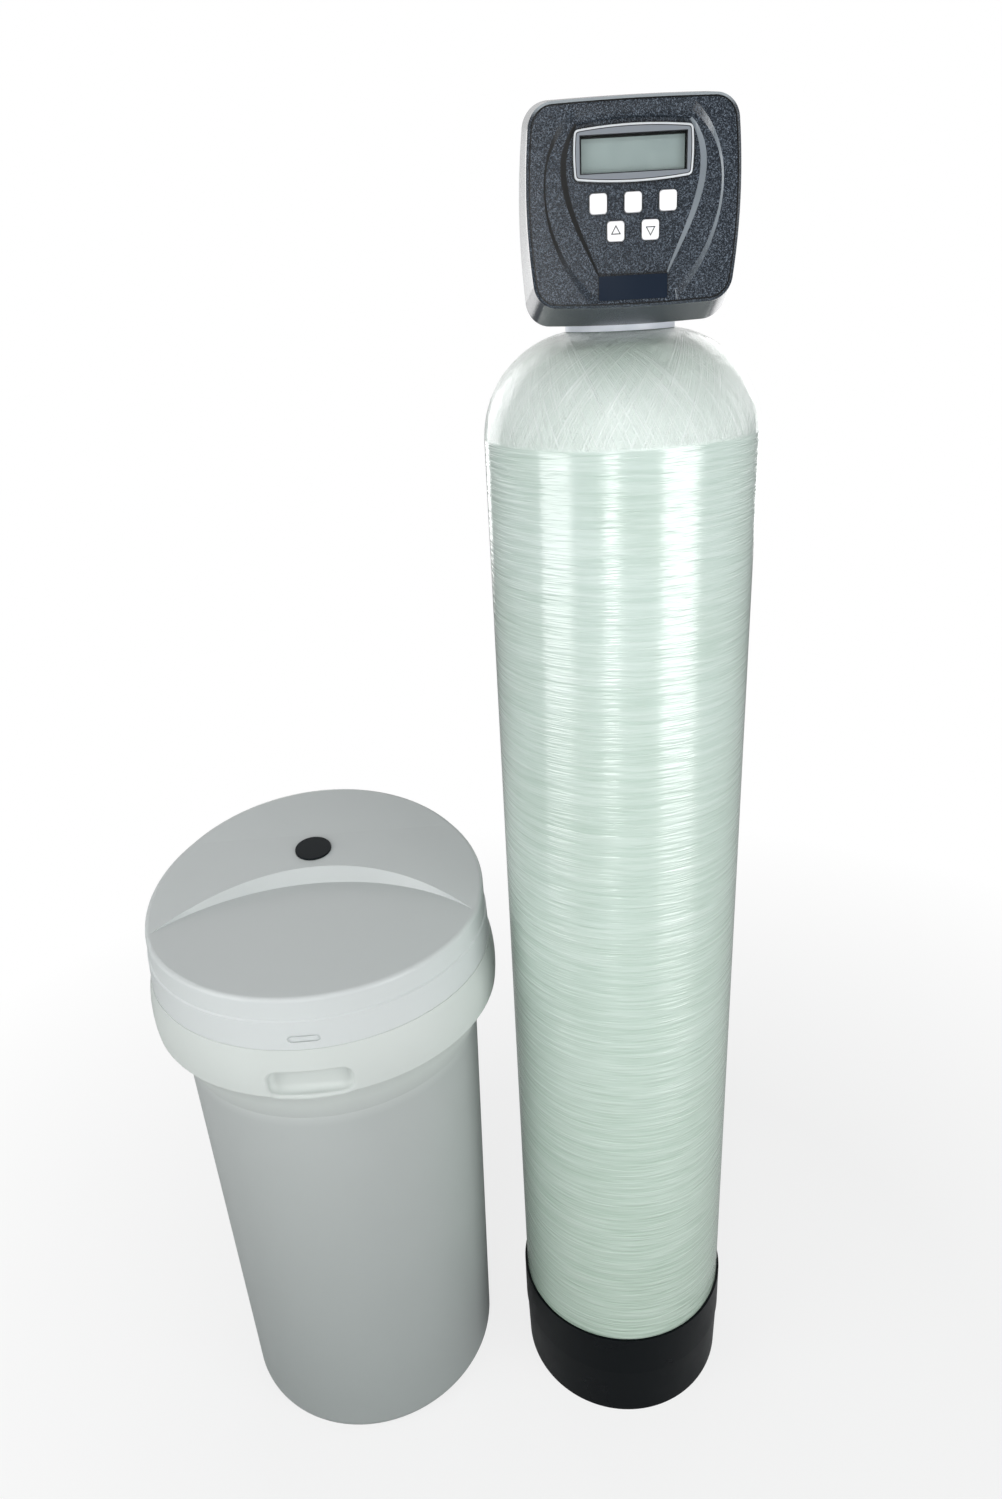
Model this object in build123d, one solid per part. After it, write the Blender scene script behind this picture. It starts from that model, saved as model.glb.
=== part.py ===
# Water softener: a wound fibreglass resin vessel under an electronic control valve, and a
# round brine tank beside it.
# Millimetres. The vessel's axis is X = Y = 0, the floor is Z = 0, and the control valve faces -Y.
from build123d import *
from math import atan2, cos, degrees, hypot, pi, radians, sin, sqrt, tan
import os

os.makedirs("parts", exist_ok=True)

# Clearances used all over
overrun = 2.0
bond_gap = 0.2
seat_gap = 0.3
running_gap = 0.05
slide_gap = 0.1

# Resin vessel
vessel_radius = 128.5
winding_wall = 3.0
liner_wall = 3.5
shoulder_height = 1221.0
knuckle_radius = 93.0
crown_radius = 290.0
neck_hole_radius = 44.0
neck_rise = 98.0
insert_flange_radius = 49.5
insert_depth = 30.0
insert_bore_radius = 31.7
boot_height = 135.5
boot_step_height = 73.7
boot_wall = 3.0
boot_floor = 4.0
boot_foot_taper = 1.8
boot_step = 0.9
boot_drain_radius = 5.0
boot_drain_offset = 90.0

# Riser, baskets and beds inside the vessel
riser_radius = 13.35
riser_wall = 2.7
riser_foot = 22.0
riser_entry = 22.0
basket_radius = 24.0
basket_height = 52.0
basket_wall = 2.5
basket_slot = 1.6
basket_slot_count = 12
upper_basket_height = 46.0
gravel_top = 96.0
resin_drop = 316.0

# Control valve body
valve_rise = 85.0
barrel_radius = 39.0
barrel_front = -40.0
barrel_back = 84.0
bore_radius = 31.0
bore_end_wall = 6.0
valve_flange_radius = 47.0
valve_flange_thick = 8.0
throat_radius = 38.0
stub_depth = 27.0
annulus_hole_radius = 5.0
annulus_hole_circle = 22.5
annulus_hole_count = 4
port_offset = 41.0
port_drop = 24.0
port_radius = 23.7
port_bore_radius = 12.7
port_end = 104.0
port_web_front = 14.0
cross_passage_radius = 9.0
cross_passage_y = 34.0

# Rubber rings
tank_ring_circle = 41.0
tank_ring_thick = 1.6
riser_ring_thick = 1.3
small_ring_thick = 0.9

# Spacer stack, pistons and drive cap
cap_flange_radius = 38.0
cap_flange_thick = 10.0
cap_plug_length = 8.0
nose_radius = 9.0
nose_length = 12.0
rod_radius = 5.0
rod_front = -99.0
piston_radius = 20.0
piston_front = -24.0
piston_length = 50.0
piston_wall = 3.0
regenerant_piston_radius = 14.0
regenerant_piston_length = 14.0
piston_travel = 32.0
cage_wall = 8.6
cage_window = 9.0
cage_window_count = 8
cage_row_count = 4
seal_thick = 3.0
seal_depth = 1.8

# Gear drive
gear_module = 1.0
drive_gear_teeth = 60
wheel_teeth = 36
pinion_teeth = 12
tooth_addendum_share = 0.85
tooth_dedendum_share = 1.2
tooth_width_share = 0.42
tooth_tip_share = 0.5
gear_thick = 6.0
wheel_thick = 5.0
layer_gap = 2.0
gear_hub_radius = 13.0
gear_hub_length = 8.0
gear_pin_radius = 2.5
motor_shaft_radius = 1.5
second_gear_angle = 200.0
first_gear_angle = 180.0
motor_angle = -60.0
motor_radius = 13.5
motor_length = 16.0
motor_bearing_depth = 8.0

# Cover and the plates behind it
cover_front = -114.0
cover_back = -50.0
cover_wall = 3.0
face_wall = 4.8
face_half_width = 80.5
face_top_taper = 5.0
face_bottom_taper = 6.0
face_rise = 70.3
face_fall = 66.8
face_crown = 1.5
face_belly = 2.4
face_widest_rise = 4.0
face_corner = 17.0
back_flare = 7.5
back_top_taper = 7.0
back_bottom_taper = 5.0
back_top_step = 11.7
back_bottom_step = 16.7
back_corner = 21.0
shoulder_depth = 6.0
shoulder_width = 2.6
edge_round = 2.0
face_groove_width = 1.2
face_groove_depth = 1.0
back_plate_thick = 3.0
back_plate_hole = 16.0
bracket_thick = 3.0
bracket_gap = 4.0
bracket_post_radius = 4.0
bracket_fall = 52.0
bracket_rise = 58.0
gear_cover_thick = 2.0

# Sunken middle of the cover's face, and the keyboard panel recessed in it
middle_depth = 1.0
middle_bevel = 1.8
middle_fade = 7.0
middle_top_margin = 2.1
middle_crown = 1.8
middle_top_half = 45.5
middle_high_drop = 37.3
middle_high_margin = 13.9
middle_mid_drop = 71.3
middle_mid_margin = 12.7
middle_low_margin = 0.8
middle_low_half = 35.2
panel_depth = 2.8
panel_wall_width = 5.6
panel_foot_width = 1.6
panel_top_drop = 12.3
panel_crown = 3.0
panel_top_half = 44.0
panel_high_margin = 10.1
panel_mid_drop = 69.3
panel_mid_margin = 15.8
panel_low_rise = 20.3
panel_low_half = 28.5

# Display
display_drop = 21.6
display_width = 80.4
display_tall = 25.0
bezel_side = 4.4
bezel_rim = 4.2
bezel_arch = 2.7
bezel_bulge = 1.0
bezel_corner = 3.5
bezel_proud = 2.4
window_margin = 3.0
window_thick = 2.6
lcd_margin = 1.5
lcd_thick = 6.9

# Keys
key_width = 13.2
key_tall = 14.2
key_corner = 2.6
key_proud = 1.9
key_gap = 0.35
key_flange = 1.2
key_flange_thick = 1.0
key_pitch = 26.9
key_drop = 33.2
key_row_pitch = 19.6
key_stem_radius = 2.2
key_travel = 0.6
switch_size = 6.0
switch_tall = 3.0

# Circuit board
board_side = 8.8
board_rise = 21.6
board_fall = 8.6
board_thick = 1.6
board_notch_right = -28.0
board_notch_tall = 17.0
board_screw_inset = 4.5

# Blank plate at the foot of the panel
blank_half_width = 27.0
blank_rise = 1.2
blank_tall = 17.6
blank_thick = 1.4
blank_corner = 1.0

# Fittings on the valve
injector_x = 0.0
injector_y = 58.0
injector_boss_radius = 16.0
injector_boss_rise = 58.0
injector_bore_radius = 11.0
injector_bore_depth = 22.0
injector_cap_thick = 6.0
injector_plug_length = 9.0
injector_radius = 6.0
injector_nozzle_radius = 1.6
elbow_boss_rise = 48.0
drain_x = -32.0
drain_y = 34.0
drain_boss_radius = 14.0
drain_stub_radius = 9.7
drain_bore_radius = 6.5
drain_hose_radius = 9.5
drain_arm_length = 40.0
drain_barb_length = 18.0
drain_clip_thick = 3.0
drain_clip_width = 30.0
brine_x = 34.0
brine_y = -8.0
brine_boss_radius = 11.0
brine_stub_radius = 6.9
brine_arm_radius = 7.5
brine_arm_length = 30.0
tube_socket_radius = 4.85
tube_socket_depth = 16.0
tube_bore_radius = 3.2
tube_nut_radius = 10.5
tube_nut_length = 12.0
stub_length = 20.0
elbow_rise = 14.0

# Water meter
meter_y = 66.0
meter_boss_radius = 17.0
meter_boss_end = 66.0
meter_bore_radius = 13.0
meter_cap_thick = 6.0
meter_plug_length = 9.0
turbine_radius = 11.0
turbine_width = 8.0
turbine_hub_radius = 3.2
turbine_blade_thick = 1.2
turbine_blade_count = 6
spindle_radius = 1.5

# Pipe connectors on the two ports
spigot_length = 8.0
connector_flange_thick = 4.0
connector_radius = 19.2
connector_length = 42.0
socket_radius = 16.75
socket_depth = 30.0
split_ring_thick = 4.0
nut_radius = 29.0
nut_length = 24.0
nut_lip = 4.0
nut_side_count = 12

# Power inlet gland in the back plate
gland_x = 52.0
gland_rise = 29.5
gland_radius = 5.0
gland_flange_radius = 7.5
gland_length = 14.0
gland_cord_radius = 2.6

# Brine tank
tank_gap = 21.0
tank_y = 15.8
tank_yaw = 4.5
tank_wall = 5.0
tank_foot_radius = 165.0
tank_foot_round = 14.0
tank_body_top = 543.0
tank_taper = 11.3
collar_rise = 53.0
collar_flare = 26.3
collar_mid_rise = 29.0
collar_belly = 0.9
collar_taper = 4.7
collar_top_rise = 29.0
lip_step = 7.0
lip_height = 20.0
lip_wall = 4.5
handle_width = 88.0
handle_tall = 33.0
handle_drop = 43.0
handle_depth = 16.0
handle_corner = 12.0
handle_floor_round = 7.0
handle_mouth_round = 3.0
handle_wall = 3.5

# Brine tank lid
lid_wall = 4.0
lid_fit_gap = 0.5
lid_skirt_inset = 0.8
lid_skirt_tall = 35.0
lid_skirt_taper = 1.4
lid_bead_step = 1.6
lid_rim_taper = 3.4
lid_rim_tall = 26.0
lid_edge_round = 5.0
lid_fold_share = 0.2873
lid_slope = 9.2
lid_riser_margin = 13.2
lid_riser_foot_share = 0.14
lid_riser_head_share = 0.207
lid_riser_head = 15.5
lid_crease_share = 0.528
lid_rear_slope = 12.5
lid_lift = 250.0
mark_width = 34.0
mark_tall = 9.0
mark_depth = 1.2
mark_rise = 13.5
plug_x = -9.7
plug_share = 0.38
plug_radius = 22.0
plug_thick = 2.6
plug_stem_radius = 17.5
plug_stem_length = 9.0

# Brine well and what stands in it
well_clearance = 11.0
well_radius = 45.0
well_wall = 3.5
well_drop = 14.0
well_slot = 4.0
well_slot_tall = 60.0
well_slot_count = 8
well_cap_thick = 4.0
well_cap_lip = 3.0
well_cap_depth = 12.0
well_cap_lift = 80.0
grid_top = 90.0
grid_thick = 5.0
grid_hole_radius = 5.0
grid_hole_pitch = 24.0
grid_leg_radius = 14.0
grid_leg_wall = 3.0
grid_leg_count = 5
grid_leg_margin = 45.0
grid_leg_start = 215.0
grid_leg_step = 27.5
fitting_drop = 43.0
valve_block_half_tall = 20.0
valve_block_half_deep = 14.0
valve_block_left = 22.0
valve_block_right = 34.0
valve_boss_radius = 12.0
valve_boss_length = 8.0
float_x = -12.0
float_rod_radius = 2.0
float_rod_rise = 34.0
float_rod_foot = 100.0
float_stop_radius = 6.0
float_stop_thick = 4.0
float_radius = 20.0
float_tall = 50.0
float_round = 6.0
pickup_x = 27.0
pickup_radius = 6.0
pickup_wall = 1.2
air_check_radius = 11.0
air_check_tall = 54.0
fitting_radius = 9.0
fitting_bore_radius = 4.5
fitting_flange_radius = 14.0
fitting_flange_thick = 4.0
fitting_body_radius = 10.0
fitting_body_length = 22.0
fitting_arm_radius = 9.0
fitting_arm_length = 30.0
fitting_nut_thick = 6.6
overflow_angle = 40.0
overflow_drop = 21.0
overflow_hose_radius = 8.0
overflow_bore_radius = 6.0
overflow_shoulder_radius = 9.4
overflow_shoulder_reach = 15.0

# Heights and radii that follow from the sizes above: vessel and valve
neck_top = shoulder_height + neck_rise
boot_foot_radius = vessel_radius + bond_gap + boot_wall - boot_step - boot_foot_taper
resin_top = shoulder_height - resin_drop
bore_height = neck_top + valve_rise
adapter_top = neck_top + valve_flange_thick
port_height = bore_height - port_drop
injector_boss_top = bore_height + injector_boss_rise
elbow_boss_top = bore_height + elbow_boss_rise

# Cover
face_half_top = face_half_width - face_top_taper
face_half_bottom = face_half_width - face_bottom_taper
face_top = bore_height + face_rise
face_bottom = bore_height - face_fall
face_widest_height = bore_height + face_widest_rise
back_half_width = face_half_width + back_flare
back_half_top = back_half_width - back_top_taper
back_half_bottom = back_half_width - back_bottom_taper
back_top = face_top + back_top_step
back_bottom = face_bottom - back_bottom_step
middle_top = face_top - middle_top_margin
middle_high = face_top - middle_high_drop
middle_mid = face_top - middle_mid_drop
middle_low = face_bottom + middle_low_margin
middle_high_half = face_half_width - middle_high_margin
middle_mid_half = face_half_width - middle_mid_margin
panel_top = face_top - panel_top_drop
panel_mid = face_top - panel_mid_drop
panel_low = face_bottom + panel_low_rise
panel_high_half = middle_high_half - panel_high_margin
panel_mid_half = middle_mid_half - panel_mid_margin
display_height = panel_top - display_drop
bezel_half_width = display_width / 2 + bezel_side
bezel_half_tall = display_tall / 2 + bezel_rim
upper_key_height = display_height - key_drop
lower_key_height = upper_key_height - key_row_pitch
board_half_width = display_width / 2 + board_side
board_top = display_height + board_rise
board_bottom = lower_key_height - board_fall
board_notch_top = board_bottom + board_notch_tall
blank_low = face_bottom + blank_rise
gland_height = back_bottom + gland_rise

# Brine tank, its lid and its fittings
tank_body_radius = tank_foot_radius + tank_taper
collar_low_radius = tank_body_radius + collar_flare
collar_mid_radius = collar_low_radius + collar_belly
collar_top_radius = collar_mid_radius - collar_taper
collar_low = tank_body_top + collar_rise
collar_mid = collar_low + collar_mid_rise
parting_height = collar_mid + collar_top_rise
lip_radius = collar_top_radius - lip_step
handle_height = parting_height - handle_drop
tank_x = -(vessel_radius + tank_gap + collar_mid_radius)
lid_skirt_radius = collar_top_radius - lid_skirt_inset
lid_bead_radius = lid_skirt_radius - lid_skirt_taper
lid_rim_radius = lid_bead_radius - lid_rim_taper
lid_bead_height = parting_height + lid_skirt_tall
lid_top = lid_bead_height + lid_rim_tall
lid_riser_half = lid_rim_radius - lid_riser_margin
lid_fold_y = -lid_fold_share * lid_rim_radius
lid_riser_foot_y = lid_riser_foot_share * lid_rim_radius
lid_riser_head_y = lid_riser_head_share * lid_rim_radius
lid_crease_y = lid_crease_share * lid_rim_radius
plug_y = plug_share * lid_rim_radius
mark_height = parting_height + mark_rise
well_y = tank_foot_radius - tank_wall - well_clearance - well_radius
well_top = parting_height - well_drop
grid_leg_circle = tank_foot_radius - grid_leg_margin
fitting_height = tank_body_top - fitting_drop
overflow_height = tank_body_top - overflow_drop
float_rod_top = fitting_height + float_rod_rise

# Levels that follow from the sizes above, front to back
panel_face = cover_front + panel_depth
cover_inside = cover_front + face_wall
window_front = panel_face
lcd_front = panel_face + window_thick + seat_gap
board_front = lcd_front + lcd_thick
board_back = board_front + board_thick
cap_front = barrel_front - cap_flange_thick
back_plate_front = cap_front - back_plate_thick
bracket_back = back_plate_front - bracket_gap
bracket_front = bracket_back - bracket_thick
nose_front = cap_front - nose_length
drive_gear_front = nose_front - gear_thick
wheel_two_front = drive_gear_front - layer_gap - wheel_thick
wheel_one_front = wheel_two_front - layer_gap - wheel_thick
gear_cover_back = wheel_one_front - 2 * layer_gap
gear_cover_front = gear_cover_back - gear_cover_thick
motor_front = gear_cover_front - motor_length

# Gear centres, as places on the front view
drive_reach = gear_module * (drive_gear_teeth + pinion_teeth) / 2
wheel_reach = gear_module * (wheel_teeth + pinion_teeth) / 2


def step_from(centre, reach, angle):
    return (centre[0] + reach * cos(radians(angle)), centre[1] + reach * sin(radians(angle)))


drive_centre = (0, bore_height)
second_centre = step_from(drive_centre, drive_reach, second_gear_angle)
first_centre = step_from(second_centre, wheel_reach, first_gear_angle)
motor_centre = step_from(first_centre, wheel_reach, motor_angle)

low_end = (Align.CENTER, Align.CENTER, Align.MIN)


def post(radius, low, high, x=0, y=0):
    """Upright round bar between two heights."""
    return Pos(x, y, low) * Cylinder(radius, high - low, align=low_end)


def bar(radius, front, back, x, height):
    """Round bar that runs from front to back."""
    return Pos(x, front, height) * Rot(-90, 0, 0) * Cylinder(radius, back - front, align=low_end)


def cross_bar(radius, left, right, y, height):
    """Round bar that runs from left to right."""
    return Pos(left, y, height) * Rot(0, 90, 0) * Cylinder(radius, right - left, align=low_end)


def block(left, right, front, back, low, high):
    return Pos(left, front, low) * Box(right - left, back - front, high - low, align=(Align.MIN,) * 3)


def turned(*edges):
    """Solid of revolution about Z from edges drawn in the XZ plane."""
    return revolve(make_face(list(edges)), Axis.Z)


def line(*points):
    return Polyline(*[(x, 0, z) for x, z in points])


def arc(start, middle, end):
    return ThreePointArc(*[(x, 0, z) for x, z in (start, middle, end)])


def ring(circle, thick, height, x=0, y=0):
    return Pos(x, y, height) * Torus(circle, thick)


def save(name, shape):
    solids = shape.solids()
    export_step(solids[0] if len(solids) == 1 else Compound(children=list(solids)), f"parts/{name}.step")


# Resin vessel: wound shell, liner, neck insert, boot and the beds
def dome_depth():
    reach = crown_radius - knuckle_radius
    return crown_radius - sqrt(reach ** 2 - (vessel_radius - knuckle_radius) ** 2)


bottom_knuckle_height = boot_floor + seat_gap + dome_depth()


def crown_height(radius, inset):
    """Height of the top dome at a radius, for a skin set in by inset."""
    centre = shoulder_height - crown_radius + dome_depth()
    return centre + sqrt((crown_radius - inset) ** 2 - radius ** 2)


def vessel_form(inset, mouth_radius, mouth_top):
    """Closed bottle form whose skin lies inset from the outside of the winding."""
    hub = vessel_radius - knuckle_radius
    rise = crown_radius - dome_depth()
    bend = atan2(rise, hub)
    knuckle, crown, side = knuckle_radius - inset, crown_radius - inset, vessel_radius - inset
    top_centre, low_centre = shoulder_height - rise, bottom_knuckle_height + rise

    def on_knuckle(angle, level, way):
        return (hub + knuckle * cos(angle), level + way * knuckle * sin(angle))

    def on_crown(angle, level, way):
        return (crown * cos(angle), level + way * crown * sin(angle))

    foot = (0, low_centre - crown)
    foot_bend = on_crown(bend, low_centre, -1)
    low_side, high_side = (side, bottom_knuckle_height), (side, shoulder_height)
    high_bend = on_crown(bend, top_centre, 1)
    mouth_angle = atan2(sqrt(crown ** 2 - mouth_radius ** 2), mouth_radius)
    mouth = on_crown(mouth_angle, top_centre, 1)
    return turned(
        arc(foot, on_crown((bend + pi / 2) / 2, low_centre, -1), foot_bend),
        arc(foot_bend, on_knuckle(bend / 2, bottom_knuckle_height, -1), low_side),
        line(low_side, high_side),
        arc(high_side, on_knuckle(bend / 2, shoulder_height, 1), high_bend),
        arc(high_bend, on_crown((bend + mouth_angle) / 2, top_centre, 1), mouth),
        line(mouth, (mouth_radius, mouth_top), (0, mouth_top), foot),
    )


liner_inset = winding_wall + bond_gap
inside_inset = liner_inset + liner_wall
mouth_level = neck_top + overrun


def resin_vessel():
    return vessel_form(0, neck_hole_radius, mouth_level) \
        - vessel_form(winding_wall, neck_hole_radius, mouth_level) \
        - post(neck_hole_radius, crown_height(neck_hole_radius, winding_wall) - winding_wall, 2 * mouth_level)


def vessel_liner():
    outer = vessel_form(liner_inset, neck_hole_radius, mouth_level)
    inner = vessel_form(inside_inset, neck_hole_radius, mouth_level)
    return outer - inner - post(neck_hole_radius, neck_top - insert_depth, 2 * mouth_level)


def neck_insert():
    collar = post(insert_flange_radius, crown_height(0, 0) - insert_depth, neck_top)
    collar -= vessel_form(-bond_gap, insert_bore_radius, mouth_level)
    barrel = post(neck_hole_radius - bond_gap, neck_top - insert_depth, neck_top)
    return barrel + collar - post(insert_bore_radius, 0, mouth_level)


def vessel_boot():
    inner = vessel_radius + bond_gap
    outer = inner + boot_wall
    low = outer - boot_step
    cup = turned(line((0, 0), (boot_foot_radius, 0), (low, boot_step_height),
                      (outer, boot_step_height + boot_step),
                      (outer, boot_height), (inner, boot_height), (inner, boot_step_height),
                      (boot_foot_radius - boot_wall, boot_floor), (0, boot_floor), (0, 0)))
    drains = [post(boot_drain_radius, -overrun, boot_floor + overrun, *place)
              for place in ((boot_drain_offset, 0), (-boot_drain_offset, 0))]
    return cup - drains


riser_low = boot_floor + seat_gap + inside_inset + riser_foot
basket_low = (boot_floor + inside_inset + 2 * seat_gap + crown_radius
              - sqrt(crown_radius ** 2 - basket_radius ** 2))


def riser_tube():
    low, high = riser_low, neck_top + riser_entry
    return post(riser_radius, low, high) - post(riser_radius - riser_wall, low - overrun, high + overrun)


def slotted(basket, low, high, count):
    """Cut level strainer slots through a basket's wall, in two rows turned from each other."""
    spacing = (high - low) / count
    for row in range(count):
        level = low + (row + 0.5) * spacing
        slot = block(-2 * basket_radius, 2 * basket_radius, -basket_radius / 2, basket_radius / 2,
                     level - basket_slot / 2, level + basket_slot / 2)
        basket -= Rot(0, 0, 90 * (row % 2)) * slot
    return basket


def bottom_basket():
    high, shelf = basket_low + basket_height, riser_low - basket_wall
    body = post(basket_radius, basket_low, riser_low)
    hollow = post(basket_radius - basket_wall, basket_low + basket_wall, shelf)
    cage = slotted(body - hollow, basket_low + 2 * basket_wall, shelf, basket_slot_count // 3)
    cage += post(riser_radius + basket_wall, shelf, high)
    cage -= post(riser_radius + slide_gap, riser_low, high + overrun)
    return cage - post(riser_radius - riser_wall, shelf - overrun, high)


def upper_basket():
    high = neck_top - stub_depth - seat_gap
    low = high - upper_basket_height
    body = post(basket_radius + basket_wall, low, high)
    hollow = post(basket_radius, low + basket_wall, high + overrun)
    cage = slotted(body - hollow, low + 2 * basket_wall, high - 2 * basket_wall, basket_slot_count)
    return cage - post(riser_radius + slide_gap, low - overrun, high + overrun)


def bed(low, high):
    """Grains that fill the liner between two levels, round the riser and its basket."""
    form = vessel_form(inside_inset + seat_gap, neck_hole_radius, mouth_level)
    slice_of = form & block(-vessel_radius, vessel_radius, -vessel_radius, vessel_radius, low, high)
    slice_of -= post(riser_radius + seat_gap, 0, high + overrun)
    return slice_of - post(basket_radius + seat_gap, 0, basket_low + basket_height + seat_gap)


# Tank adapter, control valve body and what runs in it
def annulus_holes():
    hole = post(annulus_hole_radius, 0, bore_height, annulus_hole_circle, 0)
    return [Rot(0, 0, (turn + 0.5) * 360 / annulus_hole_count) * hole for turn in range(annulus_hole_count)]


def tank_adapter():
    body = post(valve_flange_radius, neck_top, adapter_top)
    body += post(insert_bore_radius - seat_gap, neck_top - stub_depth, adapter_top)
    body -= post(riser_radius + slide_gap, 0, bore_height)
    body -= annulus_holes()
    groove = post(tank_ring_circle + 1.2 * tank_ring_thick, neck_top - overrun,
                  neck_top + 2.4 * tank_ring_thick)
    return body - (groove - post(tank_ring_circle - 1.2 * tank_ring_thick, 0, adapter_top))


def valve_body():
    body = post(throat_radius, adapter_top, bore_height)
    body += bar(barrel_radius, barrel_front, barrel_back, 0, bore_height)
    for side in (-1, 1):
        body += bar(port_radius, port_web_front, port_end, side * port_offset, port_height)
    body += block(-port_offset, port_offset, port_web_front, barrel_back, port_height - port_bore_radius,
                  port_height)
    body += cross_bar(meter_boss_radius, -meter_boss_end, -port_offset, meter_y, port_height)
    body += post(injector_boss_radius, bore_height, injector_boss_top, injector_x, injector_y)
    body += post(drain_boss_radius, port_height, elbow_boss_top, drain_x, drain_y)
    body += post(brine_boss_radius, bore_height, elbow_boss_top, brine_x, brine_y)
    body += block(0, brine_x, brine_y - brine_boss_radius, brine_y + brine_boss_radius,
                  bore_height, bore_height + brine_boss_radius)
    body -= bar(bore_radius, barrel_front - overrun, barrel_back - bore_end_wall, 0, bore_height)
    body -= post(riser_radius + slide_gap, 0, neck_top + riser_entry + seat_gap)
    body -= post(riser_radius - riser_wall, neck_top, bore_height)
    body -= annulus_holes()
    for side in (-1, 1):
        body -= bar(port_bore_radius, cross_passage_y - cross_passage_radius, port_end + overrun,
                    side * port_offset, port_height)
    body -= cross_bar(cross_passage_radius, -port_offset, port_offset, cross_passage_y, port_height)
    body -= cross_bar(meter_bore_radius, -meter_boss_end - overrun, -port_offset, meter_y, port_height)
    body -= post(injector_bore_radius, injector_boss_top - injector_bore_depth, injector_boss_top + overrun,
                 injector_x, injector_y)
    body -= post(injector_radius / 2, bore_height, injector_boss_top, injector_x, injector_y)
    body -= post(drain_stub_radius + seat_gap, elbow_boss_top - stub_length - seat_gap,
                 elbow_boss_top + overrun,
                 drain_x, drain_y)
    body -= post(brine_stub_radius + seat_gap, elbow_boss_top - stub_length - seat_gap,
                 elbow_boss_top + overrun,
                 brine_x, brine_y)
    return body - post(riser_radius + 2.3 * riser_ring_thick, riser_ring_level - 1.2 * riser_ring_thick,
                       riser_ring_level + 1.2 * riser_ring_thick)


riser_ring_level = neck_top + riser_entry / 2
cap_ring_y = barrel_front + cap_plug_length / 2
spigot_ring_y = port_end - spigot_length / 2


def o_ring_set():
    tank_ring = ring(tank_ring_circle, tank_ring_thick, neck_top + tank_ring_thick + slide_gap)
    riser_ring = ring(riser_radius + slide_gap + riser_ring_thick, riser_ring_thick, riser_ring_level)
    cap_ring = (Pos(0, cap_ring_y, bore_height) * Rot(90, 0, 0)
                * Torus(bore_radius - small_ring_thick - slide_gap, small_ring_thick))
    spigot_rings = [Pos(side * port_offset, spigot_ring_y, port_height) * Rot(90, 0, 0)
                    * Torus(port_bore_radius - small_ring_thick - slide_gap, small_ring_thick)
                    for side in (-1, 1)]
    return [tank_ring, riser_ring, cap_ring] + spigot_rings


def ring_groove(radius, y, x, height):
    """Groove for a small rubber ring round a bar that runs from front to back."""
    half = 1.3 * small_ring_thick
    band = bar(radius + overrun, y - half, y + half, x, height)
    return band - bar(radius - 2.3 * small_ring_thick, y - half, y + half, x, height)


def drive_cap():
    plug_radius = bore_radius - seat_gap
    body = bar(cap_flange_radius, cap_front, barrel_front, 0, bore_height)
    body += bar(plug_radius, barrel_front, barrel_front + cap_plug_length, 0, bore_height)
    body += bar(nose_radius, nose_front, cap_front, 0, bore_height)
    body -= bar(rod_radius + slide_gap, nose_front - overrun, 0, 0, bore_height)
    return body - ring_groove(plug_radius, cap_ring_y, 0, bore_height)


stack_front = barrel_front + cap_plug_length + slide_gap
stack_back = barrel_back - bore_end_wall - slide_gap
stack_outer = bore_radius - seat_gap
stack_inner = stack_outer - cage_wall
stack_step = (stack_back - stack_front) / cage_row_count


def seal_places():
    return [stack_front + row * stack_step for row in range(1, cage_row_count)]


def spacer_stack():
    cage = bar(stack_outer, stack_front, stack_back, 0, bore_height)
    cage -= bar(stack_inner, stack_front - overrun, stack_back + overrun, 0, bore_height)
    for row in range(cage_row_count):
        middle = stack_front + (row + 0.5) * stack_step
        for turn in range(cage_window_count):
            window = Pos(0, middle, bore_height) * Rot(0, turn * 360 / cage_window_count, 0) \
                * Pos(stack_inner - overrun, 0, 0) * Box(cage_wall + 2 * overrun, cage_window, cage_window,
                                                         align=(Align.MIN, Align.CENTER, Align.CENTER))
            cage -= window
    for place in seal_places():
        half = seal_thick / 2 + slide_gap
        cage -= bar(stack_inner + seal_depth, place - half, place + half, 0, bore_height)
    return cage


def stack_seals():
    rings = []
    for place in seal_places():
        seal = bar(stack_inner + seal_depth - slide_gap, place - seal_thick / 2, place + seal_thick / 2, 0,
                   bore_height)
        rings.append(seal - bar(piston_radius + slide_gap, place - seal_thick, place + seal_thick, 0,
                                bore_height))
    return rings


piston_back = piston_front + piston_length


def main_piston():
    body = bar(piston_radius, piston_front, piston_back, 0, bore_height)
    body -= bar(piston_radius - piston_wall, piston_front + piston_wall, piston_back - piston_wall, 0,
                bore_height)
    for y in (piston_front + piston_length / 3, piston_back - piston_length / 3):
        for angle in (0, 90):
            body -= Pos(0, y, bore_height) * Rot(0, angle, 0) * Cylinder(piston_radius / 3, 3 * piston_radius)
    return body + bar(rod_radius, rod_front, piston_front + piston_wall, 0, bore_height)


def regenerant_piston():
    back = piston_back + regenerant_piston_length
    body = bar(regenerant_piston_radius, piston_back, back, 0, bore_height)
    waist = bar(2 * regenerant_piston_radius, piston_back + piston_wall, back - piston_wall, 0, bore_height)
    return body - (waist - bar(regenerant_piston_radius - piston_wall, piston_back, back, 0, bore_height))


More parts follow.
